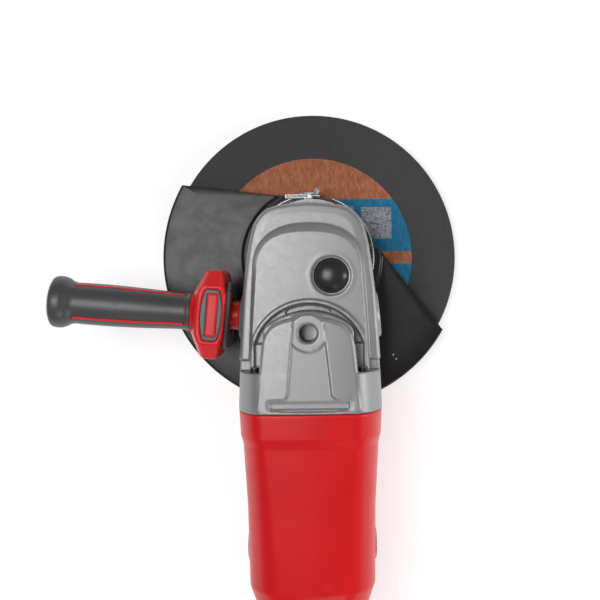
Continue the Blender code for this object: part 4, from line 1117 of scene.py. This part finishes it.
def side_handle():
    solid("handle_core", core_shape, (-34, -34, 50.5), (34, 34, 90), 0.7, "housing", PAINTS["red_nylon"],
          ("side_handle_core",), beside)
    solid("handle_sleeve", grip_shape, (-20.5, -20.5, 86), (20.5, 20.5, 192), 0.6, "housing",
          PAINTS["black_rubber"], ("side_handle_grip",), beside)
    for index, centre in enumerate(STRIPES + tuple(c + 180 for c in STRIPES)):
        stripe(f"grip_line_{index + 1}", centre)
    for sign, name in ((1, "top"), (-1, "low")):
        middle = sign * 29.5
        solid(f"flange_inlay_{name}", inlay_shape(sign), (-20, middle - 5, 58), (20, middle + 5, 80), 0.5,
              "housing", PAINTS["black_rubber"], (), beside)
        solid(f"flange_bar_{name}", bar_shape(sign), (-20, middle - 5, 63), (20, middle + 5, 74), 0.5,
              "housing", PAINTS["red_nylon"], (), beside)
    solid("flange_back", flange_back, (-27, -27, 56.5), (27, 27, 62.5), 0.8, "housing",
          PAINTS["black_rubber"], (), beside)


# Spindle lock


def lock_button():
    profile = [(3.2, 105.8), (11.2, 105.8), (11.8, 106.3), (11.9, 107.2)]
    for k in range(1, 19):
        a = math.radians(5 * k)
        profile.append((11.9 * math.cos(a), 108.0 + 5.7 * math.sin(a)))
    profile += [(0, 109.0), (3.2, 109.0)]
    turned("button_dome", profile, "lock_button", PAINTS["black_nylon"], ("lock_button",), 72,
           shifted(LOCK_X, LOCK_Y))


# Stage, light and camera


def stage():
    mesh = bpy.data.meshes.new("floor")
    bm = bmesh.new()
    bmesh.ops.create_grid(bm, x_segments=24, y_segments=24, size=6.0)
    bm.to_mesh(mesh)
    bm.free()
    floor = bpy.data.objects.new("floor", mesh)
    bpy.context.scene.collection.objects.link(floor)
    floor.location = (0, 0, -0.0006)
    mesh.materials.append(floor_paper())


def lamp(name, place, aim, size, power, depth=None):
    data = bpy.data.lights.new(name, "AREA")
    data.shape = "RECTANGLE"
    data.size, data.size_y = size, depth or size
    data.energy = power
    obj = bpy.data.objects.new(name, data)
    bpy.context.scene.collection.objects.link(obj)
    obj.location = place
    obj.rotation_mode = "QUATERNION"
    obj.rotation_quaternion = (Vector(aim) - Vector(place)).to_track_quat("-Z", "Y")
    return obj


def light():
    world = bpy.data.worlds.new("studio")
    bpy.context.scene.world = world
    world.use_nodes = True
    background = world.node_tree.nodes["Background"]
    background.inputs["Color"].default_value = (1, 1, 1, 1)
    background.inputs["Strength"].default_value = 0.20
    lamp("softbox_left", (-0.60, 0.12, 2.1), (-0.05, 0, 0.05), 1.0, 22)
    lamp("strip_right", (1.8, -0.1, 0.7), (0, -0.05, 0.1), 0.35, 12, 1.2)
    lamp("rear_fill", (0.4, -2.2, 1.4), (0, -0.2, 0.1), 1.0, 10)


def camera():
    data = bpy.data.cameras.new("camera")
    data.lens = 58.37
    data.sensor_width = 36.0
    data.shift_x = -0.075
    data.shift_y = -0.038
    data.clip_start, data.clip_end = 0.01, 50
    obj = bpy.data.objects.new("camera", data)
    bpy.context.scene.collection.objects.link(obj)
    obj.location = (0.02595, -0.01606, 0.800)
    obj.rotation_euler = (0, 0, math.radians(-0.7))
    bpy.context.scene.camera = obj


camera()
stage()
light()
bpy.context.scene.view_settings.view_transform = "Standard"
dress_frame()
gear_case()
motor_housing()
rear_handle()
case_screws()
trigger()
wheel()
guard()
clamp()
side_handle()
lock_button()
